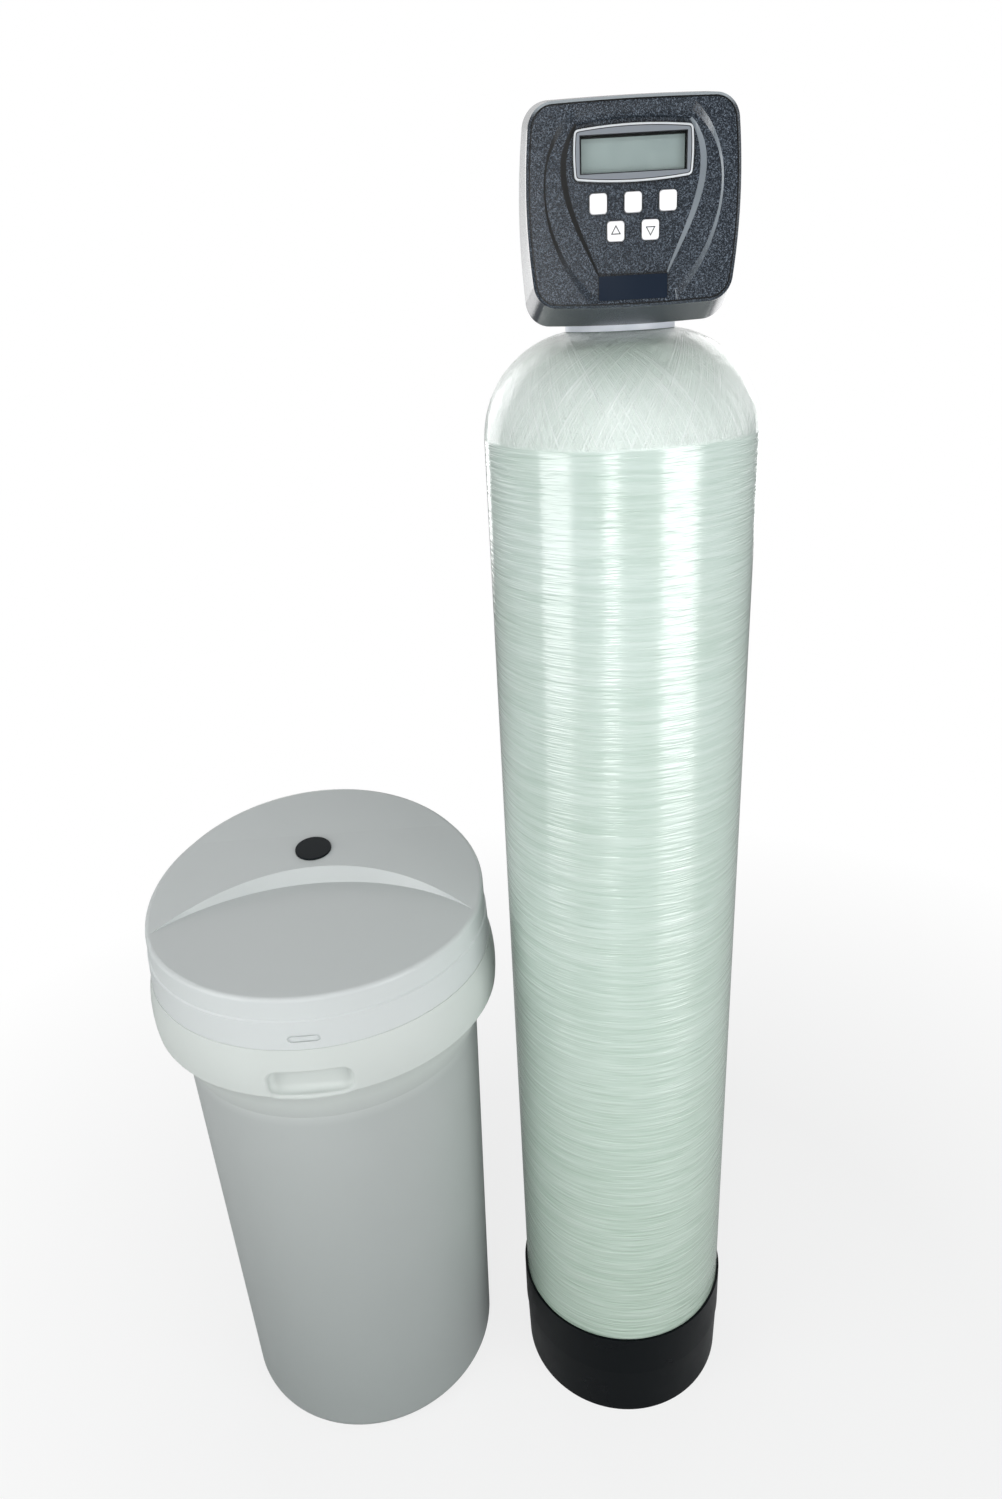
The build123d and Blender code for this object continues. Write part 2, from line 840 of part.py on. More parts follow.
# Gear drive
def gear(teeth, front, back, centre, first_tooth):
    """Spur gear between two depths, with one tooth centred at an angle of the front view."""
    pitch = gear_module * teeth / 2
    root, tip = pitch - tooth_dedendum_share * gear_module, pitch + tooth_addendum_share * gear_module
    half = tooth_width_share * pi * gear_module / 2
    slope = tan(radians(20))
    widths = [(root - gear_module / 2, half + slope * tooth_dedendum_share * gear_module),
              (pitch, half), (tip, tooth_tip_share * half)]
    outline = [(r, -w) for r, w in widths] + [(r, w) for r, w in reversed(widths)]
    flank = Polyline(*[(r, w) for r, w in outline], close=True)
    tooth = extrude(make_face(flank), back - front)
    body = Cylinder(root, back - front, align=low_end)
    body += [Rot(0, 0, turn * 360 / teeth) * tooth for turn in range(teeth)]
    return Pos(centre[0], back, centre[1]) * Rot(90, 0, 0) * Rot(0, 0, first_tooth) * body


def meshed_tooth(teeth, angle):
    """Angle of a tooth beside the gap that faces back along a mesh line."""
    return angle + 180 + 180 / teeth


def drive_gear():
    body = gear(drive_gear_teeth, drive_gear_front, nose_front, drive_centre, second_gear_angle)
    body += bar(gear_hub_radius, nose_front, nose_front + gear_hub_length, 0, bore_height)
    body += bar(gear_hub_radius, drive_gear_front - layer_gap, drive_gear_front, 0, bore_height)
    body -= bar(nose_radius + running_gap, nose_front, 0, 0, bore_height)
    return body - bar(rod_radius + slide_gap, rod_front, 0, 0, bore_height)


def reduction_gear(centre, wheel_front, wheel_tooth, pinion_tooth):
    """Wheel with the next stage's pinion behind it, on one bore."""
    wheel_back = wheel_front + wheel_thick
    pinion_back = wheel_back + layer_gap + wheel_thick
    body = gear(wheel_teeth, wheel_front, wheel_back, centre, wheel_tooth)
    body += gear(pinion_teeth, wheel_back, pinion_back, centre, pinion_tooth)
    return body - bar(gear_pin_radius + running_gap, wheel_front - overrun, pinion_back + overrun, *centre)


def second_gear():
    return reduction_gear(second_centre, wheel_two_front, first_gear_angle,
                          meshed_tooth(pinion_teeth, second_gear_angle))


def first_gear():
    return reduction_gear(first_centre, wheel_one_front, motor_angle,
                          meshed_tooth(pinion_teeth, first_gear_angle))


def motor_pinion():
    pinion = gear(pinion_teeth, wheel_one_front, wheel_one_front + wheel_thick, motor_centre,
                  meshed_tooth(pinion_teeth, motor_angle))
    return pinion + bar(motor_shaft_radius, gear_cover_front - motor_bearing_depth + overrun,
                        wheel_one_front + overrun,
                        *motor_centre)


def drive_motor():
    body = bar(motor_radius, motor_front, gear_cover_front, *motor_centre)
    body = fillet(body.edges().sort_by(Axis.Y)[0], motor_radius / 8)
    return body - bar(motor_shaft_radius + running_gap, gear_cover_front - motor_bearing_depth,
                      gear_cover_front + overrun,
                      *motor_centre)


# Plates behind the cover
bracket_left, bracket_right = -76.0, 66.0
bracket_low, bracket_high = bore_height - bracket_fall, bore_height + bracket_rise
bracket_corner = 8.0
board_posts = [(-board_half_width + board_screw_inset, board_top - board_screw_inset),
               (board_half_width - board_screw_inset, board_top - board_screw_inset),
               (board_half_width - board_screw_inset, board_bottom + board_screw_inset)]
board_rest = (board_notch_right + board_screw_inset, board_bottom + board_screw_inset)
cover_posts = [(first_centre[0], first_centre[1] + gear_module * wheel_teeth),
               (drive_centre[0] + drive_reach, drive_centre[1] - drive_reach / 2),
               (motor_centre[0] + drive_reach, drive_centre[1] - drive_reach - bracket_post_radius / 2)]


def upright_plate(left, right, front, back, low, high, corner):
    plate = block(left, right, front, back, low, high)
    return fillet(plate.edges().filter_by(Axis.Y), corner)


def drive_bracket():
    plate = upright_plate(bracket_left, bracket_right, bracket_front, bracket_back, bracket_low, bracket_high,
                          bracket_corner)
    plate -= bar(back_plate_hole, bracket_front - overrun, bracket_back + overrun, *drive_centre)
    for centre in (first_centre, second_centre):
        plate += bar(gear_pin_radius, gear_cover_back, bracket_front, *centre)
    for centre in cover_posts:
        plate += bar(bracket_post_radius, gear_cover_back, bracket_front, *centre)
    for centre in board_posts:
        plate += bar(bracket_post_radius, board_back, bracket_front, *centre)
    for x in (bracket_left + bracket_corner, bracket_right - bracket_corner):
        for height in (bracket_low + bracket_corner, bracket_high - bracket_corner):
            plate += bar(bracket_post_radius, bracket_back, back_plate_front, x, height)
    return plate


def gear_cover():
    xs = [c[0] for c in cover_posts]
    heights = [c[1] for c in cover_posts] + [motor_centre[1]]
    margin = 2 * bracket_post_radius
    plate = upright_plate(min(xs) - margin, max(xs) + margin, gear_cover_front, gear_cover_back,
                          min(heights) - motor_radius, max(heights) + margin, margin)
    for centre in board_posts:
        plate -= bar(bracket_post_radius + slide_gap + seat_gap, gear_cover_front - overrun,
                     gear_cover_back + overrun,
                     *centre)
    plate += bar(bracket_post_radius, board_back, gear_cover_front, *board_rest)
    plate -= bar(rod_radius + 2 * seat_gap, gear_cover_front - overrun, gear_cover_back + overrun,
                 *drive_centre)
    return plate - bar(motor_shaft_radius + seat_gap, gear_cover_front - overrun, gear_cover_back + overrun,
                       *motor_centre)


# Cover
def rounded_outline(y, half_top, half_middle, half_bottom, top, bottom, crown, belly, corner, grow=0.0):
    """Face of a barrel-sided rectangle at one depth, grown outwards by grow."""
    middle = face_widest_height
    high, low = top + grow, bottom - grow
    right_top, right_low = (half_top + grow, high), (half_bottom + grow, low)
    left_top, left_low = (-half_top - grow, high), (-half_bottom - grow, low)

    def curve(start, through, end):
        return ThreePointArc(*[(x, y, z) for x, z in (start, through, end)])

    face = make_face([
        curve(left_low, (-half_middle - grow, middle), left_top),
        curve(left_top, (0, high + crown), right_top),
        curve(right_top, (half_middle + grow, middle), right_low),
        curve(right_low, (0, low - belly), left_low),
    ]).face()
    return face.fillet_2d(corner + grow, face.vertices())


def face_outline(y, grow=0.0):
    return rounded_outline(y, face_half_top, face_half_width, face_half_bottom, face_top, face_bottom,
                           face_crown, face_belly, face_corner, grow)


def back_outline(y, grow=0.0):
    return rounded_outline(y, back_half_top, back_half_width, back_half_bottom, back_top, back_bottom,
                           face_crown, face_belly, back_corner, grow)


shoulder_y = cover_front + shoulder_depth


def thick_face(face, back):
    """Push a face that stands at one depth back to another."""
    return extrude(face, amount=back - face.center().Y, dir=(0, 1, 0))


def shield_outline(y, halves, heights, crown, floor):
    """Face with two curved sides, an arched top and a straight foot, named from the top down."""
    right = [(half, height) for half, height in zip(halves, heights)]
    left = [(-x, z) for x, z in reversed(right)]
    top = (0, heights[0] + crown)

    def placed(points):
        return [(x, y, z) for x, z in points]

    return make_face([
        Spline(*placed(right)),
        Polyline(*placed([right[-1], (right[-1][0], floor), (left[0][0], floor), left[0]])),
        Spline(*placed(left)),
        ThreePointArc(*placed([left[-1], top, right[0]])),
    ]).face()


def sunken_middle():
    """The cover's middle, let in between its two curved bevels and faded out above and below."""
    halves = [middle_top_half, middle_high_half, middle_mid_half, middle_low_half]
    heights = [middle_top, middle_high, middle_mid, middle_low]
    inner = [half - middle_bevel for half in halves]
    low_floor = middle_low - middle_bevel
    outline = shield_outline(cover_front, halves, heights, middle_crown, low_floor)
    deep_heights = [middle_top - middle_fade] + heights[1:3] + [middle_low + middle_fade]
    deep = shield_outline(cover_front + middle_depth, inner, deep_heights, middle_crown,
                          low_floor + middle_fade)
    return loft([outline, deep]) + extrude(outline, amount=overrun, dir=(0, -1, 0))


def keyboard_recess():
    """The panel's recess, with a sloping wall that narrows towards the foot."""
    halves = [panel_top_half, panel_high_half, panel_mid_half, panel_low_half]
    heights = [panel_top, middle_high, panel_mid, panel_low]
    widths = [panel_foot_width, panel_wall_width, panel_wall_width, panel_foot_width]
    low_floor = panel_low - panel_foot_width / 2
    outline = shield_outline(cover_front + middle_depth / 2, halves, heights, panel_crown, low_floor)
    inner = [half - width for half, width in zip(halves, widths)]
    floor_heights = [panel_top - panel_foot_width] + heights[1:]
    floor_face = shield_outline(panel_face, inner, floor_heights, panel_crown, low_floor)
    return loft([outline, floor_face]) + extrude(outline, amount=overrun + middle_depth, dir=(0, -1, 0))


def key_places():
    """Name and place of each key on the front view."""
    half = key_pitch / 2
    return {
        "left_key": (-key_pitch, upper_key_height),
        "middle_key": (0, upper_key_height),
        "right_key": (key_pitch, upper_key_height),
        "up_key": (-half, lower_key_height),
        "down_key": (half, lower_key_height),
    }


def key_block(place, front, back, grow, corner):
    x, height = place
    half_width, half_tall = key_width / 2 + grow, key_tall / 2 + grow
    return upright_plate(x - half_width, x + half_width, front, back, height - half_tall, height + half_tall,
                         corner)


def display_hole(margin, front, back):
    half_width, half_tall = display_width / 2 + margin, display_tall / 2 + margin
    return block(-half_width, half_width, front, back, display_height - half_tall, display_height + half_tall)


def front_cover():
    shoulder = face_outline(shoulder_y, shoulder_width)
    skin = loft([back_outline(cover_back), shoulder])
    skin += loft([shoulder, face_outline(cover_front + edge_round, edge_round)])
    skin += loft([face_outline(cover_front + edge_round, edge_round), face_outline(cover_front)])
    room = loft([back_outline(cover_back + overrun, -cover_wall),
                 face_outline(cover_inside, shoulder_width - cover_wall)])
    groove = thick_face(face_outline(cover_front - overrun), cover_front + face_groove_depth)
    groove -= thick_face(face_outline(cover_front - 2 * overrun, -face_groove_width), cover_front + overrun)
    cover = skin - room - groove - sunken_middle() - keyboard_recess()
    cover -= display_hole(window_margin, cover_front - overrun, cover_inside + overrun)
    for place in key_places().values():
        cover -= key_block(place, cover_front - overrun, cover_inside + overrun, key_gap, key_corner)
    blank_hole = block(-blank_half_width - slide_gap, blank_half_width + slide_gap, cover_front - overrun,
                       cover_front + blank_thick, blank_low - slide_gap, blank_low + blank_tall + slide_gap)
    rebate = thick_face(back_outline(back_plate_front, -cover_wall), cover_back + overrun)
    return cover - blank_hole - rebate


def blank_plate():
    return upright_plate(-blank_half_width, blank_half_width, cover_front, cover_front + blank_thick,
                         blank_low, blank_low + blank_tall, blank_corner)


def display_bezel():
    front = panel_face - bezel_proud
    low, high = display_height - bezel_half_tall, display_height + bezel_half_tall

    def curve(*points):
        return ThreePointArc(*[(x, front, z) for x, z in points])

    face = make_face([
        curve((-bezel_half_width, low), (-bezel_half_width - bezel_bulge, display_height),
              (-bezel_half_width, high)),
        curve((-bezel_half_width, high), (0, high + bezel_arch), (bezel_half_width, high)),
        curve((bezel_half_width, high), (bezel_half_width + bezel_bulge, display_height),
              (bezel_half_width, low)),
        curve((bezel_half_width, low), (0, low - bezel_arch), (-bezel_half_width, low)),
    ]).face()
    frame = thick_face(face.fillet_2d(bezel_corner, face.vertices()), panel_face)
    return frame - display_hole(0, front - overrun, panel_face + overrun)


def display_window():
    return display_hole(window_margin - slide_gap, window_front, window_front + window_thick)


def lcd_display():
    return display_hole(lcd_margin, lcd_front, board_front)


def key(place):
    back_of_flange = cover_inside + seat_gap + key_flange_thick
    cap = key_block(place, panel_face - key_proud, back_of_flange, 0, key_corner)
    cap = fillet(cap.edges().sort_by(Axis.Y)[:8], key_proud / 3)
    flange = key_block(place, cover_inside + seat_gap, back_of_flange, key_flange, key_corner)
    stem = bar(key_stem_radius, back_of_flange - key_flange_thick,
               board_front - switch_tall - key_travel - seat_gap, *place)
    return cap + flange + stem


def circuit_board():
    board = block(-board_half_width, board_half_width, board_front, board_back, board_bottom, board_top)
    board -= block(-board_half_width - overrun, board_notch_right, board_front - overrun,
                   board_back + overrun,
                   board_bottom - overrun, board_notch_top)
    half = switch_size / 2
    for x, height in key_places().values():
        board += block(x - half, x + half, board_front - switch_tall, board_front, height - half,
                       height + half)
    return board


def back_plate():
    plate = thick_face(back_outline(back_plate_front, -cover_wall - seat_gap),
                       back_plate_front + back_plate_thick)
    plate -= bar(back_plate_hole, back_plate_front - overrun, cap_front + overrun, *drive_centre)
    return plate - bar(gland_radius + slide_gap, back_plate_front - overrun, cap_front + overrun, gland_x,
                       gland_height)


def cord_gland():
    back = back_plate_front + gland_length
    body = bar(gland_radius, back_plate_front - gland_flange_radius / 2, back, gland_x, gland_height)
    body += bar(gland_flange_radius, cap_front, cap_front + gland_flange_radius / 2, gland_x, gland_height)
    return body - bar(gland_cord_radius, back_plate_front - 2 * gland_flange_radius, back + overrun, gland_x,
                      gland_height)


# Fittings on the valve
def injector():
    low = injector_boss_top - injector_bore_depth
    high = injector_boss_top - injector_plug_length
    body = post(injector_radius, low, high, injector_x, injector_y)
    waist = post(2 * injector_radius, low + injector_radius, high - injector_radius / 2, injector_x,
                 injector_y)
    body -= waist - post(injector_radius / 2 + injector_nozzle_radius, low, high, injector_x, injector_y)
    return body - post(injector_nozzle_radius, low - overrun, high + overrun, injector_x, injector_y)


def injector_cap():
    cap = post(injector_boss_radius, injector_boss_top, injector_boss_top + injector_cap_thick, injector_x,
               injector_y)
    cap = fillet(cap.edges().sort_by(Axis.Z)[-1], injector_cap_thick / 4)
    plug = post(injector_bore_radius - seat_gap, injector_boss_top - injector_plug_length, injector_boss_top,
                injector_x, injector_y)
    grip = block(injector_x - injector_bore_radius, injector_x + injector_bore_radius,
                 injector_y - injector_nozzle_radius, injector_y + injector_nozzle_radius,
                 injector_boss_top, injector_boss_top + 2 * injector_cap_thick)
    return cap + plug + grip


arm_height = elbow_boss_top + elbow_rise + drain_clip_thick


def drain_elbow():
    collar = elbow_boss_top + drain_clip_thick + slide_gap
    arm_end = drain_y + drain_arm_length
    body = post(drain_stub_radius, elbow_boss_top - stub_length, arm_height, drain_x, drain_y)
    body += post(drain_stub_radius + overrun, collar, arm_height, drain_x, drain_y)
    body += Pos(drain_x, drain_y, arm_height) * Sphere(drain_stub_radius + overrun)
    body += bar(drain_stub_radius + overrun, drain_y, arm_end - drain_barb_length, drain_x, arm_height)
    body += bar(drain_hose_radius, drain_y, arm_end, drain_x, arm_height)
    body -= post(drain_bore_radius, elbow_boss_top - stub_length - overrun, arm_height, drain_x, drain_y)
    return body - bar(drain_bore_radius, drain_y, arm_end + overrun, drain_x, arm_height)


def drain_clip():
    half = drain_clip_width / 2
    slot = drain_stub_radius + seat_gap
    plate = block(drain_x - half, drain_x + half, drain_y - half, drain_y + half, elbow_boss_top,
                  elbow_boss_top + drain_clip_thick)
    plate -= post(slot, elbow_boss_top - overrun, elbow_boss_top + 2 * drain_clip_thick, drain_x, drain_y)
    return plate - block(drain_x - slot, drain_x + slot, drain_y - 2 * half, drain_y,
                         elbow_boss_top - overrun,
                         elbow_boss_top + 2 * drain_clip_thick)


brine_arm_end = brine_y + brine_arm_length


def brine_elbow():
    body = post(brine_stub_radius, elbow_boss_top - stub_length, arm_height, brine_x, brine_y)
    body += post(brine_arm_radius, elbow_boss_top + slide_gap, arm_height, brine_x, brine_y)
    body += Pos(brine_x, brine_y, arm_height) * Sphere(brine_arm_radius)
    body += bar(brine_arm_radius, brine_y, brine_arm_end, brine_x, arm_height)
    body -= post(tube_bore_radius, elbow_boss_top - stub_length - overrun, arm_height, brine_x, brine_y)
    body -= bar(tube_bore_radius, brine_y, brine_arm_end, brine_x, arm_height)
    return body - bar(tube_socket_radius, brine_arm_end - tube_socket_depth, brine_arm_end + overrun,
                      brine_x, arm_height)


def brine_elbow_nut():
    front = brine_arm_end - tube_nut_length
    body = Pos(brine_x, brine_arm_end, arm_height) * Rot(90, 0, 0) \
        * extrude(RegularPolygon(tube_nut_radius, 6), tube_nut_length)
    return body - bar(brine_arm_radius + slide_gap, front - overrun, brine_arm_end + overrun, brine_x,
                      arm_height)


def meter_cap():
    flange_end = -meter_boss_end - meter_cap_thick
    plug_end = -meter_boss_end + meter_plug_length
    body = cross_bar(meter_boss_radius, flange_end, -meter_boss_end, meter_y, port_height)
    body += cross_bar(meter_bore_radius - seat_gap, -meter_boss_end, plug_end, meter_y, port_height)
    return body + cross_bar(spindle_radius, plug_end - overrun, -port_offset + turbine_width, meter_y,
                            port_height)


def meter_turbine():
    left, right = -port_offset - turbine_width / 2, -port_offset + turbine_width / 2
    wheel = cross_bar(turbine_hub_radius, left, right, meter_y, port_height)
    for turn in range(turbine_blade_count):
        blade = block(left, right, -turbine_blade_thick / 2, turbine_blade_thick / 2, 0, turbine_radius)
        wheel += Pos(0, meter_y, port_height) * Rot(turn * 360 / turbine_blade_count, 0, 0) * blade
    return wheel - cross_bar(spindle_radius + running_gap, left - overrun, right + overrun, meter_y,
                             port_height)


# Pipe connectors
ring_seat_y = port_end + connector_flange_thick
connector_end = ring_seat_y + connector_length
nut_back = ring_seat_y + split_ring_thick + nut_lip


def port_connector(side):
    x = side * port_offset
    spigot_radius = port_bore_radius - seat_gap
    body = bar(spigot_radius, port_end - spigot_length, port_end, x, port_height)
    body += bar(port_radius - seat_gap, port_end, ring_seat_y, x, port_height)
    body += bar(connector_radius, ring_seat_y, connector_end, x, port_height)
    body -= bar(spigot_radius - 3 * small_ring_thick, port_end - spigot_length - overrun, connector_end, x,
                port_height)
    body -= bar(socket_radius, connector_end - socket_depth, connector_end + overrun, x, port_height)
    return body - ring_groove(spigot_radius, spigot_ring_y, x, port_height)


def split_ring(side):
    x = side * port_offset
    back = ring_seat_y + split_ring_thick
    body = bar(port_radius - seat_gap, ring_seat_y, back, x, port_height)
    body -= bar(connector_radius + slide_gap, ring_seat_y - overrun, back + overrun, x, port_height)
    return body - block(x - overrun / 2, x + overrun / 2, ring_seat_y - overrun, back + overrun, port_height,
                        port_height + 2 * port_radius)


def port_nut(side):
    x = side * port_offset
    front = nut_back - nut_length
    body = (Pos(x, nut_back, port_height) * Rot(90, 0, 0)
            * extrude(RegularPolygon(nut_radius, nut_side_count), nut_length))
    body -= bar(port_radius + seat_gap, front - overrun, nut_back - nut_lip, x, port_height)
    return body - bar(connector_radius + seat_gap, front, nut_back + overrun, x, port_height)


# Brine tank, drawn about its own axis and placed at the end
def tank_profile(inset, top_points):
    """Tank form set in by inset, closed along the axis."""
    foot = tank_foot_radius - tank_foot_round
    bend = tank_foot_round - inset
    corner = (foot + bend * cos(pi / 4), tank_foot_round - bend * sin(pi / 4))
    side_low, side_high = (foot + bend, tank_foot_round), (tank_body_radius - inset, tank_body_top)
    low, middle = (collar_low_radius - inset, collar_low), (collar_mid_radius - inset, collar_mid)
    swell = ((side_high[0] + low[0]) / 2 - inset / 4, (side_high[1] + low[1]) / 2 - inset / 4)
    return turned(
        line((0, inset), (foot, inset)),
        arc((foot, inset), corner, side_low),
        line(side_low, side_high),
        arc(side_high, (swell[0] - overrun, swell[1] + overrun), low),
        arc(low, middle, (collar_top_radius - inset, top_points[0][1])),
        line((collar_top_radius - inset, top_points[0][1]), *top_points[1:], (0, top_points[-1][1]),
             (0, inset)),
    )


def handle_block(front, back, grow):
    """Rounded block for a hand recess, facing -Y in the tank's own frame."""
    half_width, half_tall = handle_width / 2 + grow, handle_tall / 2 + grow
    return upright_plate(-half_width, half_width, front, back, handle_height - half_tall,
                         handle_height + half_tall,
                         handle_corner)


def recess_mouth(tank):
    """Edges where the hand recesses open through the collar."""
    def at_mouth(edge):
        middle = edge.center()
        outside = hypot(middle.X, middle.Y) > collar_mid_radius - handle_wall
        return outside and abs(middle.X) < handle_width and abs(middle.Z - handle_height) < handle_tall

    return tank.edges().filter_by(Axis.Y, reverse=True).filter_by(at_mouth)


def brine_tank():
    lip_top = parting_height + lip_height
    outer = tank_profile(0, [(collar_top_radius, parting_height), (lip_radius, parting_height),
                             (lip_radius, lip_top)])
    inner_top = parting_height - tank_wall
    lip_inner = lip_radius - lip_wall
    inner = tank_profile(tank_wall, [(collar_top_radius - tank_wall, inner_top), (lip_inner, inner_top),
                                     (lip_inner, lip_top + overrun)])
    pocket_floor = -collar_mid_radius + handle_depth
    for turn in (0, 180):
        pocket = handle_block(-2 * collar_mid_radius, pocket_floor, 0)
        outer -= Rot(0, 0, turn) * fillet(pocket.edges().sort_by(Axis.Y)[-8:], handle_floor_round)
        inner -= Rot(0, 0, turn) * handle_block(-2 * collar_mid_radius, pocket_floor + handle_wall,
                                                handle_wall)
    tank = fillet(recess_mouth(outer), handle_mouth_round) - inner
    tank -= bar(fitting_radius + slide_gap, well_y, 2 * tank_body_radius, 0, fitting_height)
    return tank - Rot(0, 0, overflow_angle) * bar(fitting_radius + slide_gap, well_y, 2 * tank_body_radius, 0,
                                                   overflow_height)


def slope_rise(y, tilt, start):
    return (y - start) * tan(radians(tilt))


def lid_solid(skirt, bead, step, rim, top_drop, riser_shift, low):
    """Lid form: a turned skirt under a flat front, a curved riser and a sloping back."""
    reach = 2 * lid_skirt_radius
    top = lid_top - top_drop
    crease = top + slope_rise(lid_crease_y, lid_slope, lid_fold_y)
    peak = crease + slope_rise(reach, lid_rear_slope, lid_crease_y)
    round_form = turned(line((0, low), (skirt, low), (bead, lid_bead_height - step),
                             (bead - step, lid_bead_height),
                             (rim, peak), (0, peak), (0, low)))
    side = Polyline((-reach, -reach, low - overrun), (-reach, -reach, top), (-reach, lid_fold_y, top),
                    (-reach, lid_crease_y, crease), (-reach, reach, peak), (-reach, reach, low - overrun),
                    close=True)
    form = round_form & extrude(make_face(side), amount=2 * reach, dir=(1, 0, 0))

    def segment(height, middle_y):
        return make_face([
            ThreePointArc((-lid_riser_half, lid_fold_y, height), (0, middle_y, height),
                          (lid_riser_half, lid_fold_y, height)),
            Line((lid_riser_half, lid_fold_y, height), (-lid_riser_half, lid_fold_y, height)),
        ]).face()

    head_height = top + lid_riser_head
    riser = loft([segment(top, lid_riser_foot_y + riser_shift),
                  segment(head_height, lid_riser_head_y + riser_shift)])
    riser += extrude(segment(head_height, lid_riser_head_y + riser_shift), amount=lid_riser_head,
                     dir=(0, 0, 1))
    return form - riser


plug_tilt = Pos(plug_x, plug_y, lid_top + slope_rise(plug_y, lid_slope, lid_fold_y)) * Rot(lid_slope, 0, 0)


def brine_lid():
    shell = lid_solid(lid_skirt_radius, lid_bead_radius, lid_bead_step, lid_rim_radius, 0, 0, parting_height)
    rim_edges = [edge for edge in shell.edges()
                 if edge.center().Z > lid_top - overrun
                 and hypot(edge.center().X, edge.center().Y) > 0.9 * lid_rim_radius]
    shell = fillet(rim_edges, lid_edge_round)
    inside = lip_radius + lid_fit_gap
    hollow = lid_solid(inside, lid_bead_radius - lid_wall, lid_bead_step, lid_rim_radius - lid_wall - overrun,
                       lid_wall, lid_wall / 2, parting_height - overrun)
    lid = shell - hollow
    lid -= plug_tilt * Cylinder(plug_stem_radius + slide_gap, 4 * plug_stem_length)
    half_width, half_tall = mark_width / 2, mark_tall / 2
    mark = upright_plate(-half_width, half_width, -2 * lid_skirt_radius, -lid_skirt_radius + 2 * mark_depth,
                         mark_height - half_tall, mark_height + half_tall, half_tall - slide_gap)
    island = upright_plate(-half_width + half_tall / 2, half_width - half_tall / 2, -lid_skirt_radius, 0,
                           mark_height - half_tall / 2, mark_height + half_tall / 2,
                           half_tall / 2 - slide_gap)
    return lid - (mark - island)


def lid_plug():
    head = Cylinder(plug_radius, plug_thick, align=low_end)
    head = fillet(head.edges().sort_by(Axis.Z)[-1], plug_thick / 3)
    stem = Pos(0, 0, -plug_stem_length) * Cylinder(plug_stem_radius, plug_stem_length + overrun / 2,
                                                   align=low_end)
    hollow = Pos(0, 0, -plug_stem_length - overrun) * Cylinder(plug_stem_radius - overrun,
                                                               plug_stem_length + overrun,
                                                               align=low_end)
    return plug_tilt * (head + stem - hollow)


# Brine well and its fittings
well_foot = tank_wall + seat_gap


def brine_well():
    tube = post(well_radius, well_foot, well_top, 0, well_y)
    tube -= post(well_radius - well_wall, 0, well_top + overrun, 0, well_y)
    for turn in range(well_slot_count):
        slot = block(0, 2 * well_radius, -well_slot / 2, well_slot / 2, well_foot + well_slot,
                     well_foot + well_slot_tall)
        tube -= Pos(0, well_y, 0) * Rot(0, 0, (turn + 0.5) * 360 / well_slot_count) * slot
    return tube - bar(fitting_radius + slide_gap, well_y, 2 * tank_body_radius, 0, fitting_height)


def well_cap():
    cap = post(well_radius + well_cap_lip, well_top, well_top + well_cap_thick, 0, well_y)
    cap = fillet(cap.edges().sort_by(Axis.Z)[-1], well_cap_thick / 3)
    rim = post(well_radius - well_wall - seat_gap, well_top - well_cap_depth, well_top, 0, well_y)
    rim -= post(well_radius - 2 * well_wall, 0, well_top, 0, well_y)
    return cap + rim


def salt_grid():
    radius = tank_foot_radius - tank_wall \
        + (tank_body_radius - tank_foot_radius) * (grid_top - grid_thick) / tank_body_top
    radius -= 2 * seat_gap
    plate = post(radius, grid_top - grid_thick, grid_top)
    plate -= post(well_radius + 2 * seat_gap, 0, grid_top + overrun, 0, well_y)
    rows = int(radius // grid_hole_pitch)
    legs = [step_from((0, 0), grid_leg_circle, grid_leg_start + turn * grid_leg_step)
            for turn in range(grid_leg_count)]
    legs.append((0, 0))
    holes = []
    for column in range(-rows, rows + 1):
        for row in range(-rows, rows + 1):
            x, y = column * grid_hole_pitch, row * grid_hole_pitch
            clear_of_well = hypot(x, y - well_y) > well_radius + 2 * grid_hole_radius
            clear_of_legs = all(hypot(x - a, y - b) > grid_leg_radius + grid_hole_radius for a, b in legs)
            if hypot(x, y) < radius - 2 * grid_hole_radius and clear_of_well and clear_of_legs:
                holes.append(post(grid_hole_radius, 0, grid_top + overrun, x, y))
    plate -= holes
    for x, y in legs:
        plate += post(grid_leg_radius, well_foot, grid_top - grid_thick, x, y) \
            - post(grid_leg_radius - grid_leg_wall, 0, grid_top - grid_thick, x, y)
    return plate


block_low, block_high = fitting_height - valve_block_half_tall, fitting_height + valve_block_half_tall
valve_boss_end = well_y + valve_block_half_deep + valve_boss_length


def brine_valve():
    body = block(-valve_block_left, valve_block_right, well_y - valve_block_half_deep,
                 well_y + valve_block_half_deep,
                 block_low, block_high)
    body = fillet(body.edges().filter_by(Axis.Z), valve_block_half_deep / 2)
    body += bar(valve_boss_radius, well_y, valve_boss_end, 0, fitting_height)
    body -= bar(fitting_bore_radius, well_y, valve_boss_end + overrun, 0, fitting_height)
    return body - post(float_rod_radius + slide_gap, block_low - overrun, block_high + overrun, float_x,
                       well_y)


def float_rod():
    rod = post(float_rod_radius, float_rod_foot, float_rod_top, float_x, well_y)
    for low in (float_rod_foot, float_low + float_tall + slide_gap, block_high + slide_gap):
        rod += post(float_stop_radius, low, low + float_stop_thick, float_x, well_y)
    return rod


float_low = float_rod_foot + float_stop_thick + slide_gap


def brine_float():
    body = fillet(post(float_radius, float_low, float_low + float_tall, float_x, well_y).edges(), float_round)
    return body - post(float_rod_radius + slide_gap, 0, float_rod_top, float_x, well_y)


